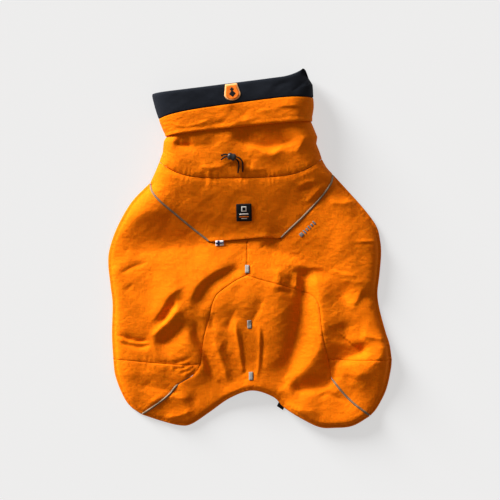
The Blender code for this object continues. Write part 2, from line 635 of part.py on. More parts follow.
def drawcord(name, route):
    """One strand of the drawcord as a round tube through its route's points."""
    points = [(x, y, lock_height() if lift == IN_LOCK else upper_height(x, y) + lift) for x, y, lift in route]
    path = smooth_curve(points, STRAND_STEP)
    curve = bpy.data.curves.new(name, "CURVE")
    curve.dimensions = "3D"
    curve.bevel_depth = 0.5 * CORD_DIAMETER * MM
    curve.bevel_resolution = 2
    curve.use_fill_caps = True
    spline = curve.splines.new("POLY")
    spline.points.add(len(path) - 1)
    for point, place in zip(spline.points, path):
        point.co = (*(place * MM), 1)
    curve.materials.append(finish("black_trim"))
    obj = bpy.data.objects.new(name, curve)
    bpy.context.collection.objects.link(obj)
    return obj


def main():
    for obj in list(bpy.data.objects):
        bpy.data.objects.remove(obj)
    panels = {name: upper_panel(name, loop) for name, loop in PANELS.items()}
    belly_panel()
    collar()
    for side in ("left", "right"):
        piping(f"yoke_piping_{side}", f"yoke_{side}")
        piping(f"hem_piping_{side}", f"hem_seam_{side}")
    laid_piece("neck_label", rectangle(*NECK_LABEL), [panels["yoke"]], LABEL_WALL, "woven_label")
    laid_piece("flag_tab", rectangle(*FLAG_TAB), [panels["back_left"]], MARK_WALL, "white_tab")
    backs = [panels["back_left"], panels["back_right"], panels["rump_panel"]]
    for number, mark in enumerate(SPINE_MARKS, start=1):
        laid_piece(f"spine_mark_{number}", rectangle(*mark), backs, MARK_WALL, "grey_piping")
    hem_tab()
    collar_tag(bpy.data.objects["collar_lining"])
    cord_lock()
    for name, route in STRANDS.items():
        drawcord(name, route)


main()
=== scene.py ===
"""Padded dog parka with a turned-down collar, laid flat with its back side up: the looks.

The tables are in millimetres, seen from above with the collar at the top: +X is right, +Y points to the
collar and +Z is up from the floor. Each piece of cloth is cut flat, then laid on the form of its solid.
"""

import bmesh
import bpy
import numpy as np
from bpy.props import FloatProperty, FloatVectorProperty, PointerProperty
from mathutils import Matrix, Vector
from mathutils.geometry import delaunay_2d_cdt


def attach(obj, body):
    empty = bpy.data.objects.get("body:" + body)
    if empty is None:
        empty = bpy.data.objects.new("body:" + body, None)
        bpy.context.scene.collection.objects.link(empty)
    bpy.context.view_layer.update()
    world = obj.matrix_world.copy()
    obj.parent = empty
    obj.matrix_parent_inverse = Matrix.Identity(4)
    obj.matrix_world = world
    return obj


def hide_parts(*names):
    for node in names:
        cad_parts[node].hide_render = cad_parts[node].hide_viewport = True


bl_info = {
    "name": "Dog parka",
    "version": (1, 0, 0),
    "blender": (4, 5, 0),
    "location": "View3D > Sidebar > Parka",
    "description": "Dresses the solids of a padded dog parka in sewn cloth, trims and a drawcord",
    "category": "Object",
}

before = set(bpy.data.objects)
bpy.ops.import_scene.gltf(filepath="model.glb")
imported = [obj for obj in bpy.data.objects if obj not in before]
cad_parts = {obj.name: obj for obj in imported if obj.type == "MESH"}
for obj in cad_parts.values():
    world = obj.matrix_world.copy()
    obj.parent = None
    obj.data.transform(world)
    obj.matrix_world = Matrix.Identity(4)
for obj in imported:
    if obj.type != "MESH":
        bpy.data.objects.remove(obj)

MM = 0.001  # the tables' unit in metres
ROOT = "root"  # the one body that every piece rides on

# ---- sizes, most of them shared with the solids ----

WALL = 3.0
BELLY_WALL = 2.5
COLLAR_WALL = 2.5
LINING = 2.2
LAYER_GAP = 0.6
EDGE_STEP = 9.0
BELLY_INSET = 7.0
BELLY_RISE = 0.5
BELLY_RISE_REACH = 5.0
HEM_ARCH = 10.0
HEM_ARCH_AT = (3.0, -212.0)
HEM_ARCH_REACH = (44.0, 40.0)
YOKE_LIP = 2.0
YOKE_LIP_REACH = 6.0
LEAST_HEIGHT = 7.0
HEM_RISE_REACH = 2.0
FOLD_STEP = 4.0
FOLD_POWER = 1.5
CREASE_POWER = 1.15

# Seams and hem stretches, each from its first corner to its last
CURVES = {
    "neck_side_left": [(-136.5, 130.5), (-143, 115), (-150, 100)],
    "back_side_left": [(-150, 100), (-178, 71), (-199, 35), (-211, 2), (-213.5, -22), (-210, -56),
                       (-207, -83), (-208, -128), (-206, -166)],
    "lobe_hem_left": [(-206, -166), (-203, -190), (-193, -217), (-181, -236), (-163.5, -249)],
    "rump_hem": [(-163.5, -249), (-133, -259), (-106, -265.5), (-88, -263.5), (-60, -245), (-30, -224),
                 (3, -212.5), (35, -222.5), (51, -238.5), (81, -257), (105, -268), (126, -269),
                 (154, -266), (181, -251)],
    "lobe_hem_right": [(181, -251), (192, -238), (205, -212), (212, -182), (213.5, -166.5)],
    "back_side_right": [(213.5, -166.5), (210, -143), (204, -124), (195, -90), (192, -66), (195, -38),
                        (197.5, -8), (196, 13), (190, 35), (171, 61), (147, 88), (124.5, 112.5)],
    "neck_side_right": [(124.5, 112.5), (115, 123), (108, 135)],
    "yoke_left": [(-150, 100), (-147, 87), (-136, 73), (-114, 54), (-87, 31.5), (-60, 10.5)],
    "yoke_edge_left": [(-60, 10.5), (-39, 12), (-4.5, 15)],
    "yoke_edge_right": [(-4.5, 15), (18, 17), (45, 15.6)],
    "yoke_right": [(45, 15.6), (61, 31), (80, 49), (106, 77), (121, 98), (124.5, 112.5)],
    "centre_seam": [(-4.5, 15), (-4, -12), (-4.5, -39)],
    "arch_left": [(-4.5, -39), (-21, -47), (-37, -58), (-50, -69), (-56.5, -83), (-60, -98), (-65, -116),
                  (-70.5, -140), (-74, -172)],
    "arch_left_low": [(-74, -172), (-79, -182), (-87, -190.5)],
    "arch_right": [(-4.5, -39), (16, -46), (39, -52), (60, -58), (80, -64), (95, -71), (103.5, -85),
                   (107, -114), (111, -138), (117, -165)],
    "arch_right_low": [(117, -165), (120, -178), (123, -195)],
    "cross_seam_left": [(-206, -166), (-174, -168), (-144, -171), (-99, -174), (-74, -172)],
    "cross_seam_right": [(213.5, -166.5), (189, -167), (150, -167), (117, -165)],
    "hem_seam_left": [(-87, -190.5), (-109, -204), (-122, -219), (-144, -236), (-163.5, -249)],
    "hem_seam_right": [(123, -195), (138, -214), (156, -232), (181, -251)],
}
PIPED = ("yoke_left", "yoke_right", "hem_seam_left", "hem_seam_right")

# Each upper panel as its loop of seams, walked one way round. A minus sign walks a seam backwards.
PANELS = {
    "yoke": ["neck_side_left", "yoke_left", "yoke_edge_left", "yoke_edge_right", "yoke_right",
             "neck_side_right", "-neck_seam"],
    "back_left": ["-yoke_left", "back_side_left", "cross_seam_left", "-arch_left", "-centre_seam",
                  "-yoke_edge_left"],
    "back_right": ["centre_seam", "arch_right", "-cross_seam_right", "back_side_right", "-yoke_right",
                   "-yoke_edge_right"],
    "side_left": ["lobe_hem_left", "-hem_seam_left", "-arch_left_low", "-cross_seam_left"],
    "side_right": ["cross_seam_right", "arch_right_low", "hem_seam_right", "lobe_hem_right"],
    "rump_panel": ["arch_left", "arch_left_low", "hem_seam_left", "rump_hem", "-hem_seam_right",
                   "-arch_right_low", "-arch_right"],
}

# The collar's outer surface by station: left x, y, right x, y, sag of the upper and of the under side
COLLAR = {
    "neck_seam": (-136.5, 130.5, 108.0, 135.0, 27, 3),
    "neck_low": (-131.0, 145.0, 104.0, 147.0, 20, 3),
    "neck_middle": (-130.0, 155.0, 99.5, 158.0, 13, 3),
    "below_cuff": (-129.0, 162.0, 101.0, 168.0, 6, 2),
    "cuff_edge": (-126.7, 169.5, 93.0, 194.0, -2, -2),
    "cuff_middle": (-132.0, 183.0, 95.0, 212.0, -4, -4),
    "lining_seam": (-137.0, 195.0, 95.0, 227.0, -6, -6),
    "band_middle": (-142.5, 213.0, 93.5, 246.0, 2, 2),
    "top_fold": (-148.0, 232.5, 84.0, 262.0, 1, 1),
}
STATIONS = np.array(list(COLLAR.values()), float)
FLANK_TOP = 16.5  # both flanks lie flat outside the trunk, and fall off near their edges
FLANK_REACH = 6.0
SHOULDER_TOP = 8.0  # the right flank rises by this much towards its shoulder, and falls off more slowly
SHOULDER_REACH = 18.0
LOBE_TOP = -150.0  # from here down the right flank is no higher than the swell
# Where each of these sets in, and over how many mm. A span below 0 sets in the other way.
RIGHT_FLANK_ACROSS = (30, 60)
RIGHT_FLANK_ALONG = (120, -70)
LEFT_FLANK_ACROSS = (-108, -48)
LEFT_FLANK_ALONG = (-5, -30)
SHOULDER_RISE = (-30, 120)
SHOULDER_SPREAD = (0, 50)
HEM_BAND_ALONG = (115, -20)
YOKE_LIP_ALONG = (9, 2)
HIDDEN_PIPING_ALONG = (-207, 5)
COLLAR_EAR = 8.0
COLLAR_EAR_FROM = 0.7
SHELL_END = 7.6
CUFF_PRESSED = 0.8  # the cuff lies down at the left of the lock
CUFF_PRESSED_AT = -56.0
CUFF_PRESSED_REACH = 28.0
STATION_SPAN = 18.0  # about the cloth between two stations, in mm
HALF_ROUND = 235.0  # half of the collar's length round the neck
COLLAR_COUNT = 150  # places across each side of the collar
COLLAR_STEP = 1.6

# y, height at the outline, height of the middle, reach of the swell, from the hem to the collar
SWELL = np.array([
    (-280, WALL, 9, 20), (-250, WALL, 10, 24), (-200, WALL, 15, 36), (-160, WALL, 20, 42),
    (-110, WALL, 25, 44), (-70, WALL, 25.5, 42), (-35, WALL, 20.5, 34), (-5, WALL, 14, 20),
    (10, WALL, 12, 13), (30, WALL, 15.5, 11), (60, WALL, 25, 11), (90, WALL, 33, 11),
    (120, 6, 38, 11), (150, 13, 41.5, 11), (200, 16, 46, 12), (250, 17, 45, 13), (290, 17, 42, 14),
], float)

# Broad ridges (rise above 0) and troughs (below 0), most of which the solids have too: path, rise, width of
# the left and right slopes as the path runs, and the share of its length over which it dies away
FOLDS = {
    "left shoulder crest": ([(-184, 30), (-160, 52), (-120, 60)], 3, 14, 30, 0.4),
    "left shoulder valley": ([(-196, -2), (-147, -2), (-100, 4), (-52, 10)], -4, 34, 12, 0.25),
    "arch crest": ([(-91, -102), (-89, -76), (-79, -55), (-61, -39), (-40, -28), (-14, -18)], 5.5, 32, 8,
                   0.35),
    "arch foot": ([(-80, -96), (-75, -73), (-58, -50), (-32, -35), (0, -26)], -4, 7, 12, 0.25),
    "flank crest": ([(-94, -54), (-119, -68), (-136, -94), (-155, -116)], 6, 7, 28, 0.3),
    "left ridge": ([(-116, -68), (-105, -98), (-90, -134), (-72, -166), (-66, -204)], 7, 13, 24, 0.2),
    "left trough": ([(-80, -100), (-80, -128), (-66, -160), (-54, -206)], -6, 8, 10, 0.25),
    "ridge beside arch seam": ([(-58, -124), (-47, -155), (-38, -180), (-32, -208)], 5, 9, 7, 0.3),
    "upper pinch": ([(-112, -69), (-116, -86), (-128, -104), (-138, -115)], -4.5, 5, 10, 0.3),
    "pinch ridge": ([(-104, -82), (-116, -100), (-133, -118), (-151, -135)], 5, 9, 4, 0.25),
    "lower pinch": ([(-92, -102), (-106, -121), (-124, -136), (-146, -145)], -8, 14, 11, 0.25),
    "right deep valley": ([(85, -24), (80, -68), (74, -110), (65, -150), (52, -189), (41, -212)], -10, 18,
                          14, 0.08),
    "right crest": ([(98, -30), (104, -75), (108, -110), (106, -142), (92, -168), (66, -196),
                     (38, -216)], 6.5, 20, 16, 0.1),
    "right flank hollow": ([(170, -136), (166, -154), (141, -163), (128, -173), (124, -192), (114, -204),
                            (92, -208), (58, -213)], -9, 8, 22, 0.12),
    "upper flank hollow": ([(136, -108), (142, -126), (140, -146)], -4, 12, 18, 0.35),
    "right flank crest": ([(206, -128), (199, -154), (189, -168), (172, -184), (146, -198)], 7, 18, 26,
                          0.25),
    "right hem ridge": ([(50, -232), (90, -256), (125, -262), (160, -256), (190, -230)], 8, 26, 20, 0.2),
    "waist valley right": ([(16, 13), (50, -4), (76, -14), (100, -33), (122, -52), (156, -84)], -8, 26, 9,
                           0.15),
    "right shoulder swell": ([(150, 84), (150, 44), (148, 6), (152, -30), (160, -74)], 5, 36, 36, 0.2),
    "left gather": ([(-17, -104), (-21, -120), (-14, -177)], 2, 6, 7, 0.3),
    "hem gather": ([(-10, -178), (-8, -208)], -3, 6, 6, 0.4),
    "right shoulder ridge": ([(112, 74), (135, 69), (162, 72)], 3, 10, 12, 0.3),
    "left low crease": ([(-194, -134), (-172, -138), (-150, -150)], -3, 8, 8, 0.3),
    "collar hollow": ([(-34, 168), (2, 158), (36, 154), (76, 168)], -8, 24, 8, 0.25),
    "collar ridge": ([(-8, 158), (10, 149), (30, 141), (42, 147), (55, 160)], 4, 6, 9, 0.25),
    "left collar hollow": ([(-112, 162), (-84, 154), (-40, 160)], -3, 10, 12, 0.3),
}

# Finer creases of the same kind, which only the looks have
CREASES = {
    "upper side crease": ([(-199, -40), (-178, -28), (-159, -21), (-151, -13)], -3, 6, 5, 0.3),
    "lower side crease": ([(-191, -66), (-174, -52)], -1.5, 4, 4, 0.4),
    "rim crease": ([(-190, -4), (-179, 1)], -1.2, 3, 3, 0.4),
    "wavy crease": ([(-202, -128), (-186, -133), (-168, -138), (-148, -136)], -2.4, 3, 2.6, 0.2),
    "wavy ridge": ([(-202, -133), (-186, -138), (-166, -142), (-148, -141)], 2.0, 2.6, 2.6, 0.2),
    "wavy crease below": ([(-196, -142), (-180, -145), (-163, -147), (-145, -143)], -2, 3, 2.6, 0.25),
    "fan 1": ([(-150, -168), (-118, -171), (-96, -166), (-84, -158)], -2.2, 3, 3, 0.25),
    "fan 2": ([(-118, -180), (-98, -177), (-84, -168)], -2.2, 2.6, 2.6, 0.25),
    "fan 3": ([(-108, -187), (-92, -182), (-80, -172)], -2.2, 2.4, 2.4, 0.25),
    "fan 4": ([(-98, -193), (-87, -187), (-78, -176)], -2.2, 2.4, 2.4, 0.25),
    "lobe trough": ([(-176, -202), (-150, -206), (-112, -216), (-92, -223)], -2.5, 14, 8, 0.3),
    "lobe ridge": ([(-160, -242), (-140, -226), (-112, -222), (-82, -228)], 4, 16, 11, 0.3),
    "lobe low ridge": ([(-134, -256), (-106, -250), (-80, -240)], 4, 11, 9, 0.3),
    "left hem crease": ([(-98, -226), (-86, -227), (-74, -230)], -1.8, 3, 6, 0.4),
    "tail crease left": ([(-50, -196), (-41, -204), (-30, -212)], -2.6, 4, 5, 0.4),
    "middle crease": ([(22, -70), (9, -98), (-8, -124)], -3.5, 7, 13, 0.3),
    "middle crease left": ([(-20, -88), (-30, -108), (-34, -128)], -3, 6, 10, 0.35),
    "seam side hollow": ([(-58, -96), (-56, -126)], -2.5, 5, 7, 0.35),
    "hem swell": ([(44, -228), (70, -241), (112, -246)], 4, 16, 12, 0.3),
    "top hollow edge": ([(42, -26), (45, -66)], 3, 8, 14, 0.3),
    "top hollow": ([(61, -36), (60, -74)], -3, 6, 9, 0.3),
    "small fold 1": ([(-42, -137), (-47, -155)], 1.6, 3, 3, 0.4),
    "small fold 2": ([(-33, -138), (-36, -156)], -1.4, 3, 4, 0.4),
    "left gather line": ([(-19, -102), (-21, -118), (-16, -145), (-12, -176), (-8, -200)], 1.8, 3, 2.6, 0.2),
    "left gather groove": ([(-14, -120), (-11, -146), (-8, -176), (-4, -204)], -1.8, 3, 3, 0.25),
    "right gather line": ([(13, -112), (15, -130), (14, -160), (12, -182), (7, -202)], 1.8, 2.6, 2.6, 0.2),
    "right gather groove": ([(19, -116), (19, -150), (17, -184)], -2, 2.8, 3.4, 0.3),
    "cross wrinkle 1": ([(38, -52), (48, -53), (62, -57)], -1.6, 3, 4, 0.4),
    "cross wrinkle 2": ([(36, -59), (50, -62), (64, -66)], -1.6, 2.6, 3, 0.4),
    "short ridge": ([(70, -32), (69, -68)], 3, 5, 5, 0.35),
    "yoke corner crease": ([(25, 10), (16, -2)], -1.8, 4, 5, 0.4),
    "right crease 1": ([(72, -30), (112, -28), (140, -38), (170, -42)], 1.6, 4, 3.5, 0.25),
    "right crease 2": ([(100, -24), (124, -30), (152, -36)], -1.2, 3, 3, 0.3),
    "right crease 3": ([(134, -46), (160, -50), (175, -47)], 1.2, 4, 4, 0.3),
    "shoulder line": ([(116, 71), (136, 68), (150, 71), (166, 68)], 2.2, 4, 5, 0.3),
    "side line": ([(154, 9), (170, 11), (196, 12)], 1.8, 3, 5, 0.3),
    "side groove": ([(152, 7), (172, 8), (192, 9)], -1.2, 2.4, 3, 0.3),
    "right edge pocket": ([(164, -66), (178, -72), (192, -68)], -4, 8, 16, 0.3),
    "right edge pucker": ([(180, -84), (190, -96), (196, -110)], -1.8, 3, 3, 0.3),
    "ridge seam 1": ([(82, -88), (94, -112), (104, -138)], -1.0, 3, 3, 0.3),
    "flank facet": ([(164, -130), (190, -134), (207, -136)], 3.5, 10, 4, 0.25),
    "flank soft crease": ([(138, -188), (156, -195), (176, -198)], -1.2, 4, 5, 0.4),
    "low crease": ([(98, -225), (116, -218), (134, -224), (148, -232)], -2, 3, 4, 0.3),
    "tail ridge right": ([(38, -206), (52, -196), (62, -186)], 2.2, 4, 4, 0.3),
    "loop top": ([(68, 90), (84, 99), (108, 103)], 3, 7, 8, 0.35),
    "loop groove": ([(70, 82), (84, 91), (100, 95)], -2, 4, 4, 0.35),
    "loop back": ([(82, 66), (98, 84), (112, 100)], 2.5, 6, 5, 0.35),
    "neck crease left": ([(-70, 122), (-67, 104), (-66, 88)], -1.6, 4, 5, 0.35),
    "neck ridge left": ([(-62, 124), (-60, 104), (-60, 90)], 1.4, 4, 5, 0.35),
    "neck side wrinkle": ([(-128, 126), (-118, 117), (-102, 112)], -2, 4, 4, 0.35),
    "gather by cord 1": ([(-26, 131), (-26, 120)], -1.5, 2.4, 2.4, 0.4),
    "gather by cord 2": ([(-6, 133), (-7, 118)], -1.6, 2.4, 2.4, 0.4),
    "gather by cord 3": ([(1, 133), (0, 118)], -1.2, 2.2, 2.2, 0.4),
    "cuff wrinkle 1": ([(10, 206), (40, 210), (80, 208)], -1.4, 4, 4, 0.3),
    "cuff wrinkle 2": ([(-60, 186), (-44, 188), (-30, 190)], -1.6, 3, 3, 0.35),
    "cuff wrinkle 3": ([(-34, 184), (-10, 190), (14, 192)], 1.4, 4, 3, 0.35),
    "cuff wrinkle 4": ([(-128, 176), (-100, 180), (-60, 184)], -1.2, 4, 3, 0.3),
    "cuff hollow": ([(-34, 212), (-18, 204), (-2, 192)], -2.6, 6, 8, 0.3),
    "cuff ridge": ([(4, 200), (30, 208), (60, 213), (82, 212)], 2.4, 7, 5, 0.3),
    "cuff end hollow": ([(70, 196), (84, 204), (92, 218)], -2.4, 6, 7, 0.3),
    "cuff fold left": ([(-120, 188), (-96, 182), (-70, 188), (-50, 198)], 1.8, 4, 6, 0.3),
    "band wrinkle 1": ([(58, 232), (70, 240), (84, 252)], -2, 6, 6, 0.35),
    "band wrinkle 2": ([(30, 240), (50, 246), (66, 250)], -1.2, 6, 6, 0.35),
    "dark left pocket": ([(-116, 160), (-99, 154), (-82, 158)], -6, 12, 6, 0.3),
    "fold by the lock": ([(-78, 122), (-54, 121), (-32, 126)], 2.5, 6, 6, 0.3),
    "fold right of the lock": ([(-4, 122), (14, 118), (26, 122)], 1.8, 6, 5, 0.35),
    "right collar fold": ([(66, 140), (76, 156), (84, 172)], 2.5, 6, 8, 0.35),
}

# How each seam pulls the padding in: depth, reach, height and spacing of its puckers
SEAM_PULL = {
    "centre_seam": (0.5, 2.4, 0.25, 8.0),
    "arch_left": (0.5, 2.4, 0.35, 8.0),
    "arch_left_low": (0.5, 2.4, 0.5, 7.0),
    "arch_right": (0.5, 2.4, 0.35, 8.0),
    "arch_right_low": (0.5, 2.4, 0.4, 7.0),
    "cross_seam_left": (0.5, 2.4, 0.4, 9.0),
    "cross_seam_right": (0.5, 2.4, 0.4, 9.0),
    "yoke_left": (0.5, 3.0, 0.2, 9.0),
    "yoke_right": (0.5, 3.0, 0.2, 9.0),
    "hem_seam_left": (0.6, 3.0, 0.3, 8.0),
    "hem_seam_right": (0.6, 3.0, 0.3, 8.0),
    "neck_seam": (1.2, 4.0, 0.5, 8.0),
}
PUCKER_REACH = 9.0
SEAM_NEAR = 35.0  # beyond this a seam pulls no cloth
BODY_TOP = 100.0  # above it the edge is sewn to the collar and has no stitched hem
HEM_BAND = 3.6  # the hem's band outside its stitches, with a small roll
HEM_BAND_RISE = 1.6
HEM_STITCH_IN = 4.5  # the hem's stitches lie this far inside the edge
HEM_CHANNEL = 1.0
HEM_CHANNEL_REACH = 1.3
HEM_ROLL = 1.5
HEM_ROLL_IN = 1.9
HEM_ROLL_REACH = 1.5
HEM_PUCKER = 0.35
HEM_PUCKER_SPACING = 7.0
HEM_PUCKER_REACH = 5.0
SOFT_FLOOR = 1.2  # how softly the troughs level out where the belly panel is below them
SOFT_FLOOR_REACH = 3.0
WAVES = ((0.5, 46.0, 3), (0.18, 17.0, 5))  # uneven filling: rise, size and seed of its draws
WAVES_REACH = 12.0

# The belly panel's cut edges
LEG_CUT_LEFT = [(-143, 96), (-118, 90), (-86, 74), (-68, 48), (-69, 20), (-92, 2), (-135, -7), (-203, -9)]
LEG_CUT_RIGHT = [(190, -4), (150, 2), (108, 5), (68, 14), (50, 36), (53, 62), (76, 84), (121, 105)]
THROAT = [(101, 128), (-127, 123)]
REAR_EDGE = [(-203, -92), (-165, -116), (-90, -130), (-8, -134), (80, -129), (150, -112), (188, -86)]

# Small pieces: middle, width, height and turn in degrees
NECK_LABEL = (-9.0, 54.5, 23.0, 26.0, 1.5)
FLAG_TAB = (-45.5, 8.8, 12.5, 8.0, 2.0)
SPINE_MARKS = {
    "spine_mark_1": (-4.2, -30.0, 6.5, 12.5, 0.0),
    "spine_mark_2": (-0.8, -113.0, 6.5, 12.5, 2.0),
    "spine_mark_3": (1.5, -190.5, 6.5, 12.5, 2.0),
}
COLLAR_TAG = (-26.5, 233.0, 24.5, 25.0, 8.0)
HIDDEN_PIPING = 2.2  # the left hem piping sinks this far into its seam at the upper end
HEM_TAB = [(44.0, -229.5), (53.0, -236.0), (49.5, -242.5), (40.5, -236.5)]

# Cord lock and drawcord. "in lock" marks the points that lie at the height of the lock's middle.
LOCK_MIDDLE = (-27.0, 137.0, 5.4)
LOCK_LENGTH = 13.0
LOCK_HALF_WIDTH = (5.6, 3.4)
LOCK_HALF_HEIGHT = (4.4, 3.0)
LOCK_BORE = (3.1, 1.6)
LOCK_TURN = 166.0
IN_LOCK = "in lock"
STRANDS = {
    "drawcord_upper": [(-11, 115, 1.6), (-10.6, 121, 3.2), (-10.8, 127, 4.6), (-13.0, 132.6, 5.2),
                       (-16.6, 135.6, IN_LOCK), (-20.2, 136.7, IN_LOCK), (-26.6, 138.4, IN_LOCK),
                       (-33.0, 140.0, IN_LOCK), (-38.0, 140.4, 4.2), (-43.0, 138.8, 2.6)],
    "drawcord_lower": [(-18, 113.5, 1.6), (-17.2, 119, 3.2), (-16.6, 124.6, 4.6), (-17.4, 129.8, 5.2),
                       (-20.6, 133.5, IN_LOCK), (-27.4, 135.6, IN_LOCK), (-33.6, 137.1, IN_LOCK),
                       (-38.0, 136.4, 4.2), (-43.0, 132.6, 2.6)],
}
STRAND_STEP = 1.5
STRAND_RADIUS = 1.1

# Panels' edges, piping and stitches
PIPED_INSET = 0.35
PLAIN_INSET = -0.02
UNDER_LIP = -0.8  # the backs lie this much lower where the yoke's free edge covers them
BELLY_STEP = 4.5
BELLY_EDGE = 1.1
BELLY_CLEARANCE = 1.0
PIPING_RADIUS = 1.65
PIPING_RISE = 0.1
STITCH_PITCH = 3.4
STITCH_LENGTH = 2.6
STITCH_THICKNESS = 0.55
STITCH_SINK = 0.02
SEAM_STITCH_OFF = 2.6
LIP_STITCH_IN = 3.2
HEM_STITCH_TOP = 96.0

# The plain print on the right shoulder: where it starts, its turn, and its bars' widths and heights
PRINT_AT = (75.0, 19.5)
PRINT_TURN = 43.0
PRINT_GAP = 2.0
PRINT_BARS = [(6.0, 6.0), (2.6, 6.4), (3.0, 4.6), (2.6, 6.0), (3.2, 4.8), (2.6, 6.4)]

# The view from straight above, in metres
VIEW_WIDTH = 0.75
VIEW_MIDDLE = (0.0, -0.0015)
VIEW_LEVEL = 0.015  # the height at which the view is VIEW_WIDTH wide
LENS = 150.0
SENSOR = 36.0


# ---- curves ----

def smooth_curve(points, step):
    """Points about a step apart on a smooth curve through the given ones, ends kept."""
    given = [np.array(p, float) for p in points]
    given = [2 * given[0] - given[1]] + given + [2 * given[-1] - given[-2]]
    curve = []
    for before, start, end, after in zip(given, given[1:], given[2:], given[3:]):
        count = max(1, round(np.linalg.norm(end - start) / step))
        for t in np.arange(count) / count:
            curve.append(0.5 * (2 * start + (end - before) * t
                                + (2 * before - 5 * start + 4 * end - after) * t**2
                                + (3 * start - before - 3 * end + after) * t**3))
    return np.array(curve + [given[-2]])


def nearest_on(curve, at):
    """For each place: its distance to a curve, the side it lies on (+ is left) and how far along, in mm."""
    distance, side, along = np.full(len(at), np.inf), np.zeros(len(at)), np.zeros(len(at))
    travelled = 0.0
    for start, end in zip(curve, curve[1:]):
        run = end - start
        length = np.hypot(*run)
        share = np.clip((at - start) @ run / length**2, 0, 1)
        away = at - start - share[:, None] * run
        here = np.hypot(away[:, 0], away[:, 1])
        nearer = here < distance
        distance[nearer] = here[nearer]
        side[nearer] = (run[0] * away[:, 1] - run[1] * away[:, 0])[nearer]
        along[nearer] = travelled + share[nearer] * length
        travelled += length
    return distance, side, along


def length_of(curve):
    """A curve's length."""
    return np.hypot(*np.diff(curve, axis=0)[:, :2].T).sum()


def squares_to(curve):
    """At each point of a curve, the direction square to it on its left."""
    run = np.gradient(curve, axis=0)
    return np.stack([-run[:, 1], run[:, 0]], axis=1) / np.hypot(run[:, 0], run[:, 1])[:, None]


def travelled(curve):
    """The way gone along a curve at each of its points."""
    return np.concatenate([[0], np.cumsum(np.linalg.norm(np.diff(curve, axis=0), axis=1))])


def evenly(curve, step):
    """Places and directions at an even step along a curve."""
    gone = travelled(curve)
    stops = np.arange(0.5 * step, gone[-1], step)
    places = np.stack([np.interp(stops, gone, column) for column in curve.T], axis=1)
    ahead = np.stack([np.interp(stops + 0.1, gone, column) for column in curve.T], axis=1)
    runs = ahead - places
    return places, runs / np.linalg.norm(runs, axis=1)[:, None]


def joined(names, step=EDGE_STEP):
    """One line along several seams that follow each other, with no point twice."""
    line = np.vstack([smooth_curve(CURVES[name], step) for name in names])
    return line[np.r_[True, np.hypot(*np.diff(line, axis=0).T) > 1e-6]]


def smoothstep(t):
    """From 0 to 1 as t does, level at both ends."""
    t = np.clip(t, 0, 1)
    return t * t * (3 - 2 * t)


def ramp(value, start, span):
    """From 0 at the start to 1 a span further on."""
    return smoothstep((value - start) / span)


# ---- heights ----

def collar_places(s, u, above, inwards=0.0):
    """Where points of the collar lie in plan: station, place across from -1 to 1, side and depth in."""
    i = np.minimum(s.astype(int), len(STATIONS) - 2)
    row = STATIONS[i] + (STATIONS[i + 1] - STATIONS[i]) * (s - i)[:, None]
    left, right = row[:, 0:2], row[:, 2:4]
    width = np.linalg.norm(right - left, axis=1)
    across = (right - left) / width[:, None]
    square = np.stack([-across[:, 1], across[:, 0]], axis=1)
    dip = np.where(above, row[:, 4], row[:, 5]) * (1 - u**4)
    at_fold = np.maximum(s - SHELL_END, 0) / (len(STATIONS) - 1 - SHELL_END)
    dip -= COLLAR_EAR * at_fold * np.maximum((u - COLLAR_EAR_FROM) / (1 - COLLAR_EAR_FROM), 0)**2
    return 0.5 * (left + right) - square * dip[:, None] + across * (u * (0.5 * width - inwards))[:, None]


CURVES["neck_seam"] = collar_places(np.zeros(13), np.linspace(-1, 1, 13), np.ones(13, bool))
BODY_SEAMS = ["neck_side_left", "back_side_left", "lobe_hem_left", "rump_hem", "lobe_hem_right",
              "back_side_right", "neck_side_right"]
BODY_CURVE = joined(BODY_SEAMS)
FINE_BODY_CURVE = joined(BODY_SEAMS, 4.0)
SIDE_CURVE = np.vstack([STATIONS[:0:-1, 0:2], BODY_CURVE, STATIONS[1:, 2:4]])
YOKE_EDGE = joined(["yoke_edge_left", "yoke_edge_right"], 3.0)


def swell_rows(y):
    """The swell table's three values at each y, on a smooth curve through its rows."""
    ys = SWELL[:, 0]
    slopes = np.gradient(SWELL, ys, axis=0)
    i = np.clip(np.searchsorted(ys, y) - 1, 0, len(ys) - 2)
    low, high, gap = SWELL[i], SWELL[i + 1], (ys[i + 1] - ys[i])[:, None]
    t = np.clip((y - ys[i]) / gap[:, 0], 0, 1)[:, None]
    rows = ((2 * t**3 - 3 * t**2 + 1) * low + (t**3 - 2 * t**2 + t) * gap * slopes[i]
            + (3 * t**2 - 2 * t**3) * high + (t**3 - t**2) * gap * slopes[i + 1])
    return rows[:, 1], rows[:, 2], rows[:, 3]


def hem_lift(at):
    """How far the gathers hold the hem up over the tail."""
    arch = (at - HEM_ARCH_AT) / HEM_ARCH_REACH
    return HEM_ARCH * np.exp(-(arch**2).sum(axis=1))


ALL_FOLDS = [(smooth_curve(path, FOLD_STEP), *sizes, power)
             for table, power in ((FOLDS, FOLD_POWER), (CREASES, CREASE_POWER))
             for path, *sizes in table.values()]
SEAM_CURVES = {name: smooth_curve(CURVES[name], EDGE_STEP) for name in SEAM_PULL}


def close_to(curve, at, reach):
    """Which places lie in the box round a curve, grown by a reach."""
    low, high = curve.min(axis=0) - reach, curve.max(axis=0) + reach
    return np.flatnonzero((at > low).all(axis=1) & (at < high).all(axis=1))


def rise_of_folds(at):
    """The sum of all the ridges and troughs at each place."""
    total = np.zeros(len(at))
    for curve, rise, left, right, fade, power in ALL_FOLDS:
        near = close_to(curve, at, 3 * max(left, right))
        if not len(near):
            continue
        distance, side, along = nearest_on(curve, at[near])
        share = along / length_of(curve)
        width = np.where(side > 0, left, right)
        ends = smoothstep(share / fade) * smoothstep((1 - share) / fade)
        total[near] += rise * ends * np.exp(-(distance / width)**power)
    return total


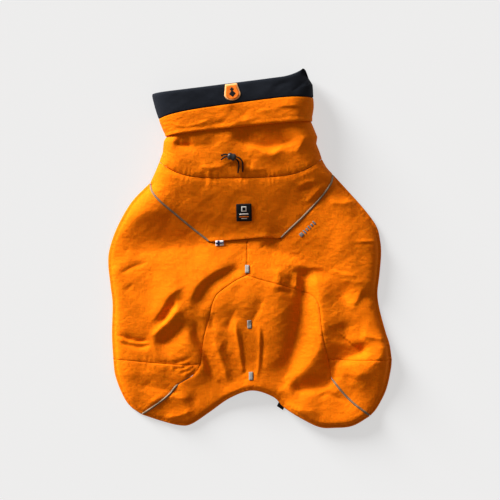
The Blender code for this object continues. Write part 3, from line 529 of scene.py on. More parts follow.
def uneven(at, size, seed):
    """Smooth waves of about a size in mm, from -1 to 1, the same at each run."""
    rng = np.random.default_rng(seed)
    total = np.zeros(len(at))
    for _ in range(14):
        turn = rng.uniform(0, np.pi)
        wave = size * rng.uniform(0.6, 1.7)
        total += np.sin(2 * np.pi * (at @ (np.cos(turn), np.sin(turn)) / wave + rng.uniform()))
    return total / 5.0


def puckers(along, spacing):
    """Small gathers along a seam, from -1 to 1, unlike each other."""
    turn = 2 * np.pi * along / spacing
    return np.sin(turn + 1.7 * np.sin(turn / 3.1)) * (0.6 + 0.4 * np.sin(turn / 5.3 + 1.0))


def seam_relief(at):
    """How the seams and the stitched hem pull the padding in and gather it."""
    total = np.zeros(len(at))
    for name, (depth, reach, height, spacing) in SEAM_PULL.items():
        curve = SEAM_CURVES[name]
        near = close_to(curve, at, SEAM_NEAR)
        distance, _, along = nearest_on(curve, at[near])
        total[near] -= depth * np.exp(-(distance / reach)**2)
        total[near] += height * puckers(along, spacing) * np.exp(-(distance / PUCKER_REACH)**1.3)
    distance, _, along = nearest_on(FINE_BODY_CURVE, at)
    body = at[:, 1] < BODY_TOP
    from_stitch = distance - HEM_STITCH_IN
    total -= body * HEM_CHANNEL * np.exp(-(from_stitch / HEM_CHANNEL_REACH)**2)
    total += body * HEM_ROLL * np.exp(-((distance - HEM_ROLL_IN) / HEM_ROLL_REACH)**2)
    total += body * HEM_PUCKER * puckers(along, HEM_PUCKER_SPACING) * np.exp(
        -(from_stitch / HEM_PUCKER_REACH)**2)
    return total


def upper_heights(at):
    """Height of the parka's upper side over the floor at each place, in mm."""
    x, y = at.T
    from_side = nearest_on(SIDE_CURVE, at)[0]
    edge, middle, reach = swell_rows(y)
    edge = edge + hem_lift(at)
    inner = np.maximum(from_side - HEM_BAND * ramp(y, *HEM_BAND_ALONG), 0)
    least = edge + HEM_BAND_RISE * (1 - np.exp(-from_side)) + (
        LEAST_HEIGHT - WALL - HEM_BAND_RISE) * (1 - np.exp(-inner / HEM_RISE_REACH))
    right = ramp(x, *RIGHT_FLANK_ACROSS) * ramp(y, *RIGHT_FLANK_ALONG)
    left = ramp(x, *LEFT_FLANK_ACROSS) * ramp(y, *LEFT_FLANK_ALONG)
    flat = np.minimum(middle, FLANK_TOP)
    level = np.where(y > LOBE_TOP, FLANK_TOP + SHOULDER_TOP * ramp(y, *SHOULDER_RISE), flat)
    middle = middle + right * (level - middle) + left * (flat - middle)
    reach = (reach + right * (FLANK_REACH + SHOULDER_REACH * ramp(y, *SHOULDER_SPREAD) - reach)
             + left * (FLANK_REACH - reach))
    height = least + (middle - least) * (1 - np.exp(-inner / reach))
    height += rise_of_folds(at) + seam_relief(at)
    height += (1 - np.exp(-from_side / WAVES_REACH)) * sum(
        rise * uneven(at, size, seed) for rise, size, seed in WAVES)
    over = (height - least) / SOFT_FLOOR
    return least + SOFT_FLOOR * (np.maximum(over, 0) + np.log1p(np.exp(-np.abs(over)))
                                 - np.log(2) * np.exp(-from_side / SOFT_FLOOR_REACH))


# ---- flat outlines ----

def walk(loop, step):
    """The closed outline of a loop of seams, and for each point whether a piped seam meets it."""
    points, piped = [], []
    for seam in loop:
        name = seam.lstrip("-")
        curve = smooth_curve(CURVES[name], step)
        points.extend(curve[:-1] if seam == name else curve[:0:-1])
        piped.extend([name in PIPED] * (len(curve) - 1))
    return np.array(points), np.array([now or before for now, before in zip(piped, [piped[-1]] + piped)])


def signed_area(outline):
    """An outline's area, above 0 if it runs counterclockwise."""
    after = np.roll(outline, -1, axis=0)
    return 0.5 * float((outline[:, 0] * after[:, 1] - outline[:, 1] * after[:, 0]).sum())


def inset(outline, distance):
    """A closed outline with each point moved inwards, by one distance or by one for each point."""
    turn = 1 if signed_area(outline) > 0 else -1
    arrive = outline - np.roll(outline, 1, axis=0)
    arrive /= np.linalg.norm(arrive, axis=1)[:, None]
    leave = np.roll(arrive, -1, axis=0)
    inwards = turn * np.stack([-(arrive + leave)[:, 1], (arrive + leave)[:, 0]], axis=1)
    inwards /= np.maximum(np.linalg.norm(inwards, axis=1), 1e-6)[:, None]
    square = turn * np.stack([-arrive[:, 1], arrive[:, 0]], axis=1)
    stretch = np.maximum((inwards * square).sum(axis=1), 0.6)
    return outline + inwards * (distance / stretch)[:, None]


def from_edge(outline, at):
    """How far places lie from a closed outline."""
    return nearest_on(np.vstack([outline, outline[:1]]), at)[0]


def inside(outline, at):
    """Which places lie inside a closed outline."""
    count = np.zeros(len(at), int)
    for a, b in zip(outline, np.roll(outline, -1, axis=0)):
        if a[1] == b[1]:
            continue
        crossing = (a[1] > at[:, 1]) != (b[1] > at[:, 1])
        count += crossing & (at[:, 0] < (b[0] - a[0]) * (at[:, 1] - a[1]) / (b[1] - a[1]) + a[0])
    return count % 2 == 1


def even_places(outline, step, rim):
    """An even spread of places inside an outline, a rim's width clear of it."""
    low, high = outline.min(axis=0), outline.max(axis=0)
    rows = []
    for row, y in enumerate(np.arange(low[1], high[1], 0.87 * step)):
        xs = np.arange(low[0] + 0.5 * (row % 2) * step, high[0], step)
        rows.append(np.stack([xs, np.full(len(xs), y)], axis=1))
    at = np.vstack(rows)
    at = at[inside(outline, at)]
    return at[from_edge(outline, at) > rim]


# ---- cloth ----

RIM = (0.0, 0.22, 0.6, 1.15)  # rings inside a cut edge, as shares of its roundness
EDGE_FALL = 0.94  # a rounded edge falls by this share of half its wall
FINE_STEP = 2.0  # spacing of the points of the upper panels
FINE_EDGE = 3.0


def round_off(away, radius):
    """How far the upper face falls at a rounded edge."""
    short = np.clip(radius - away, 0, radius)
    return radius - np.sqrt(np.maximum(radius**2 - short**2, 0))


def cloth_mesh(name, bm, two_sided=False):
    """The finished mesh of a piece in metres, from a bmesh in mm whose loops hold UVs in metres of cloth.

    On a two-sided piece the faces that look down have its second material.
    """
    bmesh.ops.recalc_face_normals(bm, faces=bm.faces)
    bmesh.ops.scale(bm, vec=(MM, MM, MM), verts=bm.verts)
    mesh = bpy.data.meshes.new(name)
    bm.to_mesh(mesh)
    bm.free()
    mesh.shade_smooth()
    if two_sided:
        normals = np.empty(3 * len(mesh.polygons), np.float32)
        mesh.polygons.foreach_get("normal", normals)
        mesh.polygons.foreach_set("material_index", (normals[2::3] < -0.05).astype(np.int32))
    return mesh


def show(name, mesh, finishes, node=None):
    """A finished piece at the origin, riding on the parka. If a node is named, that node's solid is hidden
    and the piece shows in its place.
    """
    obj = bpy.data.objects.new(name, mesh)
    bpy.context.scene.collection.objects.link(obj)
    for finish in finishes:
        mesh.materials.append(finish)
    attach(obj, ROOT)
    if node:
        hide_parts(node)
    return obj


def filled(rings, inner):
    """Nested rings of points and the places inside them, joined by triangles."""
    count = len(rings[0])
    edges = [(first + i, first + (i + 1) % count)
             for first in range(0, count * len(rings), count) for i in range(count)]
    places, _, triangles, *_ = delaunay_2d_cdt([Vector(p) for p in np.vstack([*rings, inner])], edges,
                                               [list(range(count))], 1, 1e-5)
    return np.array(places), triangles


def thick_mesh(name, places, triangles, under, top, two_sided=False):
    """The mesh of a flat cut piece between its lower and its upper heights."""
    bm = bmesh.new()
    number = bm.verts.layers.int.new("number")
    low = [bm.verts.new((x, y, z)) for (x, y), z in zip(places, under)]
    for i, vert in enumerate(low):
        vert[number] = i
    for triangle in triangles:
        bm.faces.new([low[i] for i in triangle])
    grown = bmesh.ops.extrude_face_region(bm, geom=list(bm.faces), use_keep_orig=True)
    for item in grown["geom"]:
        if isinstance(item, bmesh.types.BMVert):
            item.co.z = top[item[number]]
    bm.verts.layers.int.remove(number)
    uv = bm.loops.layers.uv.new("cloth")
    for face in bm.faces:
        for loop in face.loops:
            loop[uv].uv = loop.vert.co.xy * MM
    return cloth_mesh(name, bm, two_sided)


def lay_sheet(node, outline, step, radius, over, wall, finishes):
    """A panel cut to an outline in mm, given its wall and laid on its heights."""
    rings = [inset(outline, share * radius) for share in RIM]
    places, triangles = filled(rings, even_places(rings[-1], step, 0.6 * step))
    top = over(places)
    fall = EDGE_FALL * round_off(from_edge(outline, places), radius) * 0.5 * wall / radius
    mesh = thick_mesh(f"{node}_cloth", places, triangles, top - wall + fall, top - fall, two_sided=True)
    obj = show(f"{node}_cloth", mesh, finishes, node)


# ---- finishes ----

def node_group(name, inputs, outputs):
    """An empty shader group with its sockets. inputs and outputs are {name: (socket type, default)}."""
    group = bpy.data.node_groups.new(name, "ShaderNodeTree")
    for side, sockets in (("INPUT", inputs), ("OUTPUT", outputs)):
        for socket_name, (kind, default) in sockets.items():
            socket = group.interface.new_socket(socket_name, in_out=side, socket_type=kind)
            if default is not None:
                socket.default_value = default
    return group, group.nodes.new("NodeGroupInput"), group.nodes.new("NodeGroupOutput")


def fill(tree, node, inputs):
    """Set a node's inputs by name or number: sockets are linked, and numbers and colours are kept."""
    for key, value in inputs.items():
        if isinstance(value, bpy.types.NodeSocket):
            tree.links.new(value, node.inputs[key])
        else:
            node.inputs[key].default_value = value
    return node


def add(tree, kind, inputs):
    """A new shader node with its inputs set."""
    return fill(tree, tree.nodes.new(f"ShaderNode{kind}"), inputs)


def maths(tree, operation, a, b=None):
    """A Math node's output. a and b are sockets or numbers."""
    node = add(tree, "Math", {0: a} if b is None else {0: a, 1: b})
    node.operation = operation
    return node.outputs[0]


def noise_at(tree, vector, scale, detail=2.0, stretch=(1, 1, 1)):
    """Soft noise between 0 and 1."""
    mapping = add(tree, "Mapping", {"Vector": vector, "Scale": [scale * s for s in stretch]})
    noise = add(tree, "TexNoise", {"Vector": mapping.outputs[0], "Scale": 1.0, "Detail": detail})
    return noise.outputs["Fac"]


def woven_group(name):
    """Plain weave over UVs in metres of cloth: the height of its threads, and slubs along both ways."""
    group, given, out = node_group(
        name, {"Cloth": ("NodeSocketVector", None), "Pitch": ("NodeSocketFloat", 0.0005)},
        {"Height": ("NodeSocketFloat", None), "Slub": ("NodeSocketFloat", None)})
    cloth = given.outputs["Cloth"]
    split = add(group, "SeparateXYZ", {0: cloth})
    waves = []
    for axis in ("X", "Y"):
        turns = maths(group, "DIVIDE", split.outputs[axis], given.outputs["Pitch"])
        waves.append(maths(group, "SINE", maths(group, "MULTIPLY", turns, np.pi)))
    over = maths(group, "GREATER_THAN", maths(group, "MULTIPLY", waves[0], waves[1]), 0.0)
    warp, weft = (maths(group, "ABSOLUTE", wave) for wave in waves)
    chosen = maths(group, "ADD", maths(group, "MULTIPLY", over, warp),
                   maths(group, "MULTIPLY", maths(group, "SUBTRACT", 1.0, over), weft))
    along, across = (noise_at(group, cloth, 1.0, 2.0, stretch) for stretch in ((90, 600, 1), (600, 90, 1)))
    slub = maths(group, "MULTIPLY", maths(group, "ADD", along, across), 0.5)
    fill(group, out, {"Height": chosen, "Slub": slub})
    return group


def tone_group(name):
    """A colour made uneven: darker and lighter by slubs and by wide soft patches."""
    group, given, out = node_group(
        name,
        {"Color": ("NodeSocketColor", None), "Cloth": ("NodeSocketVector", None),
         "Slub": ("NodeSocketFloat", 0.5), "Slub Amount": ("NodeSocketFloat", 0.2),
         "Patch Amount": ("NodeSocketFloat", 0.1)},
        {"Color": ("NodeSocketColor", None), "Patch": ("NodeSocketFloat", None)})
    patch = noise_at(group, given.outputs["Cloth"], 34.0, 4.0)
    light = 1.0
    for value, amount in ((given.outputs["Slub"], "Slub Amount"), (patch, "Patch Amount")):
        swing = maths(group, "MULTIPLY", maths(group, "SUBTRACT", value, 0.5), given.outputs[amount])
        light = maths(group, "ADD", swing, light)
    scale = group.nodes.new("ShaderNodeVectorMath")
    scale.operation = "SCALE"
    fill(group, scale, {0: given.outputs["Color"], "Scale": light})
    fill(group, out, {"Color": scale.outputs[0], "Patch": patch})
    return group


def crinkle_group(name):
    """Thin sharp crinkles at two sizes, in some places more than in others."""
    group, given, out = node_group(
        name, {"Cloth": ("NodeSocketVector", None), "Depth": ("NodeSocketFloat", 0.5)},
        {"Height": ("NodeSocketFloat", None)})
    cloth = given.outputs["Cloth"]
    where = maths(group, "MULTIPLY", noise_at(group, cloth, 22.0, 2.0), 1.6)
    total = noise_at(group, cloth, 150.0, 3.0)
    for scale, weight, stretch in ((48.0, 4.0, (1, 1.6, 1)), (120.0, 1.6, (1.5, 1, 1))):
        wave = maths(group, "SUBTRACT", noise_at(group, cloth, scale, 2.0, stretch), 0.5)
        sharp = maths(group, "MULTIPLY", maths(group, "ABSOLUTE", wave), weight)
        total = maths(group, "ADD", total, maths(group, "MULTIPLY", sharp, where))
    fill(group, out, {"Height": maths(group, "MULTIPLY", total, given.outputs["Depth"])})
    return group


def shared(tree, name, make, inputs):
    """A node of a shared group, which is made at its first use."""
    node = tree.nodes.new("ShaderNodeGroup")
    node.node_tree = bpy.data.node_groups.get(name) or make(name)
    return fill(tree, node, inputs)


def shader_of(name):
    """A new material, its tree and its Principled shader."""
    material = bpy.data.materials.new(name)
    material.use_nodes = True
    tree = material.node_tree
    return material, tree, tree.nodes["Principled BSDF"]


def bumped(tree, height):
    """The normal of a surface with relief. A height of 1 is 1 mm."""
    return add(tree, "Bump", {"Distance": 0.001, "Strength": 1.0, "Height": height}).outputs[0]


def uneven_roughness(tree, value, swing, least):
    """A roughness that follows a value between 0 and 1."""
    return maths(tree, "ADD", maths(tree, "MULTIPLY", value, swing), least)


def cloth_finish(name, colour, roughness, pitch, weave, slub, patch, sheen=0.0, sheen_tint=(1, 1, 1, 1),
                 crumple=0.0, gloss=0.2, glow_through=0.0):
    """A woven or knitted finish that follows the piece's UVs."""
    if name in bpy.data.materials:
        return bpy.data.materials[name]
    material, tree, shader = shader_of(name)
    uv = tree.nodes.new("ShaderNodeUVMap")
    uv.uv_map = "cloth"
    cloth = uv.outputs[0]
    woven = shared(tree, "woven threads", woven_group, {"Pitch": pitch, "Cloth": cloth})
    tone = shared(tree, "uneven colour", tone_group, {
        "Color": (*colour, 1), "Slub Amount": slub, "Patch Amount": patch, "Cloth": cloth,
        "Slub": woven.outputs["Slub"]})
    relief = maths(tree, "ADD", maths(tree, "MULTIPLY", woven.outputs["Height"], weave),
                   maths(tree, "MULTIPLY", woven.outputs["Slub"], 2.5 * weave))
    if crumple:
        crinkles = shared(tree, "crinkles", crinkle_group, {"Depth": crumple, "Cloth": cloth})
        relief = maths(tree, "ADD", relief, crinkles.outputs["Height"])
    fill(tree, shader, {
        "Base Color": tone.outputs["Color"], "Normal": bumped(tree, relief),
        "Roughness": uneven_roughness(tree, tone.outputs["Patch"], 0.16, roughness - 0.08),
        "Sheen Weight": sheen, "Sheen Roughness": 0.4, "Sheen Tint": sheen_tint,
        "Specular IOR Level": gloss})
    if glow_through:
        fill(tree, shader, {"Subsurface Weight": glow_through, "Subsurface Radius": (1.0, 0.22, 0.05),
                            "Subsurface Scale": 0.008})
    return material


def moulded_finish(name, colour, roughness, grain):
    """Moulded plastic with a fine grain on Object coordinates."""
    material, tree, shader = shader_of(name)
    place = tree.nodes.new("ShaderNodeTexCoord").outputs["Object"]
    fine = noise_at(tree, place, 1800.0, 2.0)
    wear = noise_at(tree, place, 160.0, 3.0)
    fill(tree, shader, {
        "Base Color": (*colour, 1), "Normal": bumped(tree, maths(tree, "MULTIPLY", fine, grain)),
        "Roughness": uneven_roughness(tree, wear, 0.25, roughness - 0.12)})
    return material


def plain_finish(name, colour, roughness):
    """A tight weave of one colour, for tabs, marks and thread."""
    return cloth_finish(name, colour, roughness, 0.0003, 0.06, 0.2, 0.1)


def shell_cloth():
    """The padded orange outer cloth."""
    look = bpy.context.scene.parka_cloth
    return cloth_finish("shell_cloth", look.shell_colour, 0.72, look.shell_thread, 0.10, 0.48, 0.18,
                        sheen=0.06, sheen_tint=(1, 0.45, 0.02, 1), crumple=0.62, gloss=0.05,
                        glow_through=0.08)


def lining_cloth():
    """The dark lining."""
    look = bpy.context.scene.parka_cloth
    return cloth_finish("lining_cloth", look.lining_colour, 0.85, look.lining_thread, 0.08, 0.35, 0.2,
                        sheen=0.04, sheen_tint=(0.75, 0.82, 1, 1), gloss=0.15)


def reflective_cloth():
    """The grey reflective piping's cloth."""
    look = bpy.context.scene.parka_cloth
    return cloth_finish("reflective_cloth", look.piping_colour, 0.6, 0.0004, 0.08, 0.3, 0.15, gloss=0.3)


# ---- settings ----

def colour(name, description, default):
    """A colour setting."""
    return FloatVectorProperty(name=name, description=description, subtype="COLOR", size=3, min=0, max=1,
                               default=default)


def measure(name, description, precision, default):
    """A setting in metres."""
    return FloatProperty(name=name, description=description, unit="LENGTH", precision=precision,
                         default=default)


class ClothLook(bpy.types.PropertyGroup):
    shell_colour: colour("Shell colour", "Colour of the padded outer cloth", (0.81, 0.200, 0.002))
    lining_colour: colour("Lining colour", "Colour of the lining and of the collar's band",
                          (0.011, 0.014, 0.021))
    piping_colour: colour("Piping colour", "Colour of the reflective piping and marks", (0.24, 0.18, 0.12))
    shell_thread: measure("Shell thread", "Spacing of the outer cloth's threads", 5, 0.00055)
    lining_thread: measure("Lining thread", "Spacing of the lining's loops", 5, 0.0005)
    seam_edge: measure("Seam roundness", "Roundness of a panel's edge in a seam or hem", 4, 0.0010)


class StageLook(bpy.types.PropertyGroup):
    sun_height: FloatProperty(
        name="Sun height", description="Angle of the main light above the floor", subtype="ANGLE",
        default=0.28)
    sun_side: FloatProperty(
        name="Sun side", description="Direction that the main light comes from, from +X towards +Y",
        subtype="ANGLE", default=2.34)
    sun_strength: FloatProperty(name="Sun strength", description="Strength of the main light", default=8.98)
    sky_strength: FloatProperty(name="Sky strength", description="Strength of the even light", default=0.30)
    floor_colour: colour("Floor colour", "Colour of the pale floor", (0.235, 0.242, 0.25))
    floor_glow: FloatProperty(
        name="Floor glow", description="Strength of the light that the pale floor gives off",
        default=0.607)


# ---- pieces ----

class PARKA_OT_upper_panels(bpy.types.Operator):
    """Make the yoke, back, rump and side panels"""

    bl_idname = "parka.upper_panels"
    bl_label = "Upper panels"

    def execute(self, context):
        radius = context.scene.parka_cloth.seam_edge / MM
        for name, loop in PANELS.items():
            outline, piped = walk(loop, FINE_EDGE)
            outline = inset(outline, np.where(piped, PIPED_INSET, PLAIN_INSET))

            def over(at, name=name):
                lip = np.exp(-(nearest_on(YOKE_EDGE, at)[0] / YOKE_LIP_REACH)**2)
                return upper_heights(at) + lip * (YOKE_LIP if name == "yoke" else UNDER_LIP)

            lay_sheet(name, outline, FINE_STEP, radius, over, WALL, [shell_cloth(), lining_cloth()])
        return {"FINISHED"}


class PARKA_OT_belly_panel(bpy.types.Operator):
    """Make the belly panel, which the parka rests on"""

    bl_idname = "parka.belly_panel"
    bl_label = "Belly panel"

    def execute(self, context):
        sides = inset(BODY_CURVE, BELLY_INSET * np.ones(len(BODY_CURVE)))
        cuts = [THROAT, LEG_CUT_LEFT, REAR_EDGE, LEG_CUT_RIGHT]
        stretches = []
        for cut, after in zip(cuts, cuts[1:] + cuts[:1]):
            first, last = (int(np.hypot(*(sides - end).T).argmin()) for end in (cut[-1], after[0]))
            stretches += [smooth_curve(cut, EDGE_STEP), sides[first + 1:last]]

        def over(at):
            from_seam = np.maximum(nearest_on(SIDE_CURVE, at)[0] - BELLY_INSET, 0)
            room = np.maximum(upper_heights(at) - WALL - BELLY_WALL - BELLY_CLEARANCE, 0)
            return BELLY_RISE * room * np.exp(-from_seam / BELLY_RISE_REACH) + BELLY_WALL

        lay_sheet("belly_panel", np.vstack(stretches), BELLY_STEP, BELLY_EDGE, over, BELLY_WALL,
                  [lining_cloth(), shell_cloth()])
        return {"FINISHED"}


def refined(corners, step, weights=1.0):
    """A closed line with points about a step apart. weights are the mm in one unit of each column."""
    ring = np.array([*corners, corners[0]], float)
    out = []
    for a, b in zip(ring, ring[1:]):
        count = max(1, round(np.linalg.norm((b - a) * weights) / step))
        out += [a + (b - a) * k / count for k in range(count)]
    return np.array(out)


def collar_tube(node, profile, finish):
    """A piece that runs round the collar, from a closed profile of stations, depths and lifts."""
    to_mm = (STATION_SPAN, 1, 1)
    fine = refined(profile, COLLAR_STEP, to_mm)
    spread = np.linspace(-1, 1, COLLAR_COUNT + 1)
    spread = 0.5 * spread + 0.5 * np.sin(0.5 * np.pi * spread)
    u_all = np.concatenate([spread, spread[-2:0:-1], [-1.0]])
    above_all = np.repeat([True, False, True], [len(spread), len(spread) - 2, 1])
    bm = bmesh.new()
    verts = bmesh.ops.create_grid(bm, x_segments=len(u_all) - 1, y_segments=len(fine), size=1.0,
                                  calc_uvs=False)["verts"]
    co = np.array([vert.co[:2] for vert in verts])
    i = np.rint((co[:, 0] + 1) / 2 * (len(u_all) - 1)).astype(int)
    j = np.rint((co[:, 1] + 1) / 2 * len(fine)).astype(int)
    s, depth, lift = fine[j % len(fine)].T
    u, above = u_all[i], above_all[i]
    outer = collar_places(s, u, above)
    lift = lift * (1 - CUFF_PRESSED * np.exp(-((outer[:, 0] - CUFF_PRESSED_AT) / CUFF_PRESSED_REACH)**2))
    place = collar_places(s, u, above, depth)
    bulge = (1 - u * u)**0.25
    edge = swell_rows(outer[:, 1])[0]
    z = np.where(above, upper_heights(outer) + (lift - depth) * bulge, edge - (edge - depth) * bulge)
    gone = travelled(np.vstack([fine, fine[:1]]) * to_mm)
    uvs = np.stack([0.5 * (u + np.where(above, 0, 2)) * HALF_ROUND, gone[j]], axis=1) * MM
    layer = bm.loops.layers.uv.new("cloth")
    for vert, (x, y), height, pair in zip(verts, place, z, uvs):
        vert.co = (x, y, height)
        for loop in vert.link_loops:
            loop[layer].uv = pair
    bmesh.ops.remove_doubles(bm, verts=bm.verts, dist=1e-4)
    obj = show(f"{node}_cloth", cloth_mesh(f"{node}_cloth", bm), [finish], node)


def level_run(stations, depth):
    """A stretch of a collar profile at one depth."""
    return [(s, depth, 0) for s in stations]


class PARKA_OT_collar(bpy.types.Operator):
    """Make the collar: its shell, the turned-down orange cuff and the dark lining band"""

    bl_idname = "parka.collar"
    bl_label = "Collar"

    def execute(self, context):
        under = LINING + LAYER_GAP
        deep = under + COLLAR_WALL + LAYER_GAP
        bottom = deep + LINING
        outer = [(0.02, 0.4, 0), *level_run((0.08, 0.5, 1, 1.6, 2.3, 3), 0), (3.5, 1.2, 0),
                 *level_run((4, 5, 6, 7, SHELL_END), under)]
        inner = [(s, depth + COLLAR_WALL, lift) for s, depth, lift in outer[::-1]]
        collar_tube("collar_shell", outer + inner, shell_cloth())
        collar_tube("collar_facing", [
            (3.90, 0.7, 3.2), (3.93, 0.1, 3.2), (4.0, -0.3, 3.2), (4.1, -0.3, 2.9), (4.22, 0.1, 2.4),
            (4.4, -0.2, 1.8), (4.7, -0.5, 0.8), (5, -0.6, 0.2), (5.5, -0.5, 0), (5.85, 0, 0),
            (5.96, 0.5, 0), (5.98, 1.2, 0), *level_run((5.98, 5.5, 5), LINING), (4.4, LINING, 1.6),
            (4, LINING, 3.0), (3.92, 1.6, 3.2),
        ], shell_cloth())
        collar_tube("collar_lining", [
            (6.01, 0.9, 0), (6.03, 0.3, 0), (6.1, 0, 0), (6.5, -0.3, 0), (7, -0.3, 0), (SHELL_END, 0, 0),
            (7.8, 0.3, 0), (7.92, 1.0, 0), (7.98, 2.2, 0), (8, 0.5 * bottom, 0), (7.98, bottom - 2.2, 0),
            (7.92, bottom - 1.0, 0), (7.8, bottom - 0.3, 0), *level_run((SHELL_END, 7, 6, 5, 4.24), bottom),
            (4.2, bottom - 0.5, 0), (4.2, deep + 0.5, 0),
            *level_run((4.24, 5, 6, 7, SHELL_END, 7.66), deep), (7.7, 0.5 * bottom, 0),
            *level_run((7.66, SHELL_END, 7, 6.01), LINING),
        ], lining_cloth())
        return {"FINISHED"}


def tube_mesh(name, path, radius):
    """A round tube along a path in mm, with closed ends and UVs in metres along and around it."""
    curve = bpy.data.curves.new(name, "CURVE")
    curve.dimensions = "3D"
    curve.bevel_depth = radius
    curve.bevel_resolution = 2
    curve.use_fill_caps = True
    spline = curve.splines.new("POLY")
    spline.points.add(len(path) - 1)
    for point, place in zip(spline.points, path):
        point.co = (*place, 1)
    holder = bpy.data.objects.new(name, curve)
    mesh = bpy.data.meshes.new_from_object(holder)
    bpy.data.objects.remove(holder)
    bm = bmesh.new()
    bm.from_mesh(mesh)
    bpy.data.meshes.remove(mesh)
    at = np.array([vert.co[:2] for vert in bm.verts])
    distance, side, along = nearest_on(path[:, :2], at)
    layer = bm.loops.layers.uv.new("cloth")
    around = np.arcsin(np.clip(np.sign(side) * distance / radius, -1, 1)) * radius
    for i, vert in enumerate(bm.verts):
        for loop in vert.link_loops:
            loop[layer].uv = (along[i] * MM, around[i] * MM)
    return cloth_mesh(name, bm)


class PARKA_OT_piping(bpy.types.Operator):
    """Make the reflective piping in the yoke's and the hem's seams"""

    bl_idname = "parka.piping"
    bl_label = "Piping"

    def execute(self, context):
        for seam in PIPED:
            kind, side = seam.replace("_seam", "").rsplit("_", 1)
            node = f"{kind}_piping_{side}"
            line = smooth_curve(CURVES[seam], 2.5)[1:-1]
            sunk = HIDDEN_PIPING * ramp(line[:, 1], *HIDDEN_PIPING_ALONG) * (seam == "hem_seam_left")
            path = np.column_stack([line, upper_heights(line) + PIPING_RISE - sunk])
            show(f"{node}_cord", tube_mesh(f"{node}_cord", path, PIPING_RADIUS), [reflective_cloth()],
                 node)
        return {"FINISHED"}


def laid_mesh(name, outline, step, wall, carried_by):
    """A label, tab or mark that lies on its carrier: cut, filled and given its wall."""
    places, triangles = filled([outline], even_places(outline, step, 0.55 * step))
    around = [(0, 0)] + [(2 * np.cos(a), 2 * np.sin(a)) for a in np.arange(8) * np.pi / 4]
    shifted = np.vstack([places + shift for shift in around])
    under = carried_by(shifted).reshape(len(around), -1).max(axis=0) + 0.15
    top = under + wall - round_off(from_edge(outline, places), 0.5 * wall)
    return thick_mesh(name, places, triangles, under, top)


def placed(shape, x, y, degrees):
    """A flat shape round the origin, turned and moved to its place."""
    turn = np.radians(degrees)
    spin = np.array([[np.cos(turn), -np.sin(turn)], [np.sin(turn), np.cos(turn)]])
    return np.array(shape) @ spin.T + (x, y)


def lay(name, shape, place, wall, carried_by, finish, lift=0.0, step=1.6, node=None):
    """A small flat piece of a shape round the origin, at (x, y, turn) on what carries it."""
    outline = refined(placed(shape, *place), step)
    mesh = laid_mesh(name, outline, step, wall, lambda at: carried_by(at) + lift)
    show(name, mesh, [finish], node)


def beside(piece, dx, dy, more_turn=0):
    """(x, y, turn) of a place on a small piece, from its middle."""
    x, y, _, _, turn = piece
    return *placed([(dx, dy)], x, y, turn)[0], turn + more_turn


def rounded_rectangle(width, height, radius):
    """A rectangle round the origin with round corners."""
    w, h = 0.5 * width - radius, 0.5 * height - radius
    corners = []
    for quarter, (x, y) in enumerate([(w, h), (-w, h), (-w, -h), (w, -h)]):
        for a in np.linspace(0, 0.5 * np.pi, 4) + 0.5 * np.pi * quarter:
            corners.append((x + radius * np.cos(a), y + radius * np.sin(a)))
    return corners


def tag_shape(width, height):
    """The collar tag: straight at the fold, with a round lower end."""
    narrow, wide, top = 0.36 * width, 0.5 * width, 0.5 * height
    round_from = -0.12 * height
    shape = [(-narrow, top), (-wide, round_from)]
    shape += [(wide * np.cos(a), round_from + (top + round_from) * np.sin(a))
              for a in np.radians(np.arange(190, 351, 10))]
    return shape + [(wide, round_from), (narrow, top)]


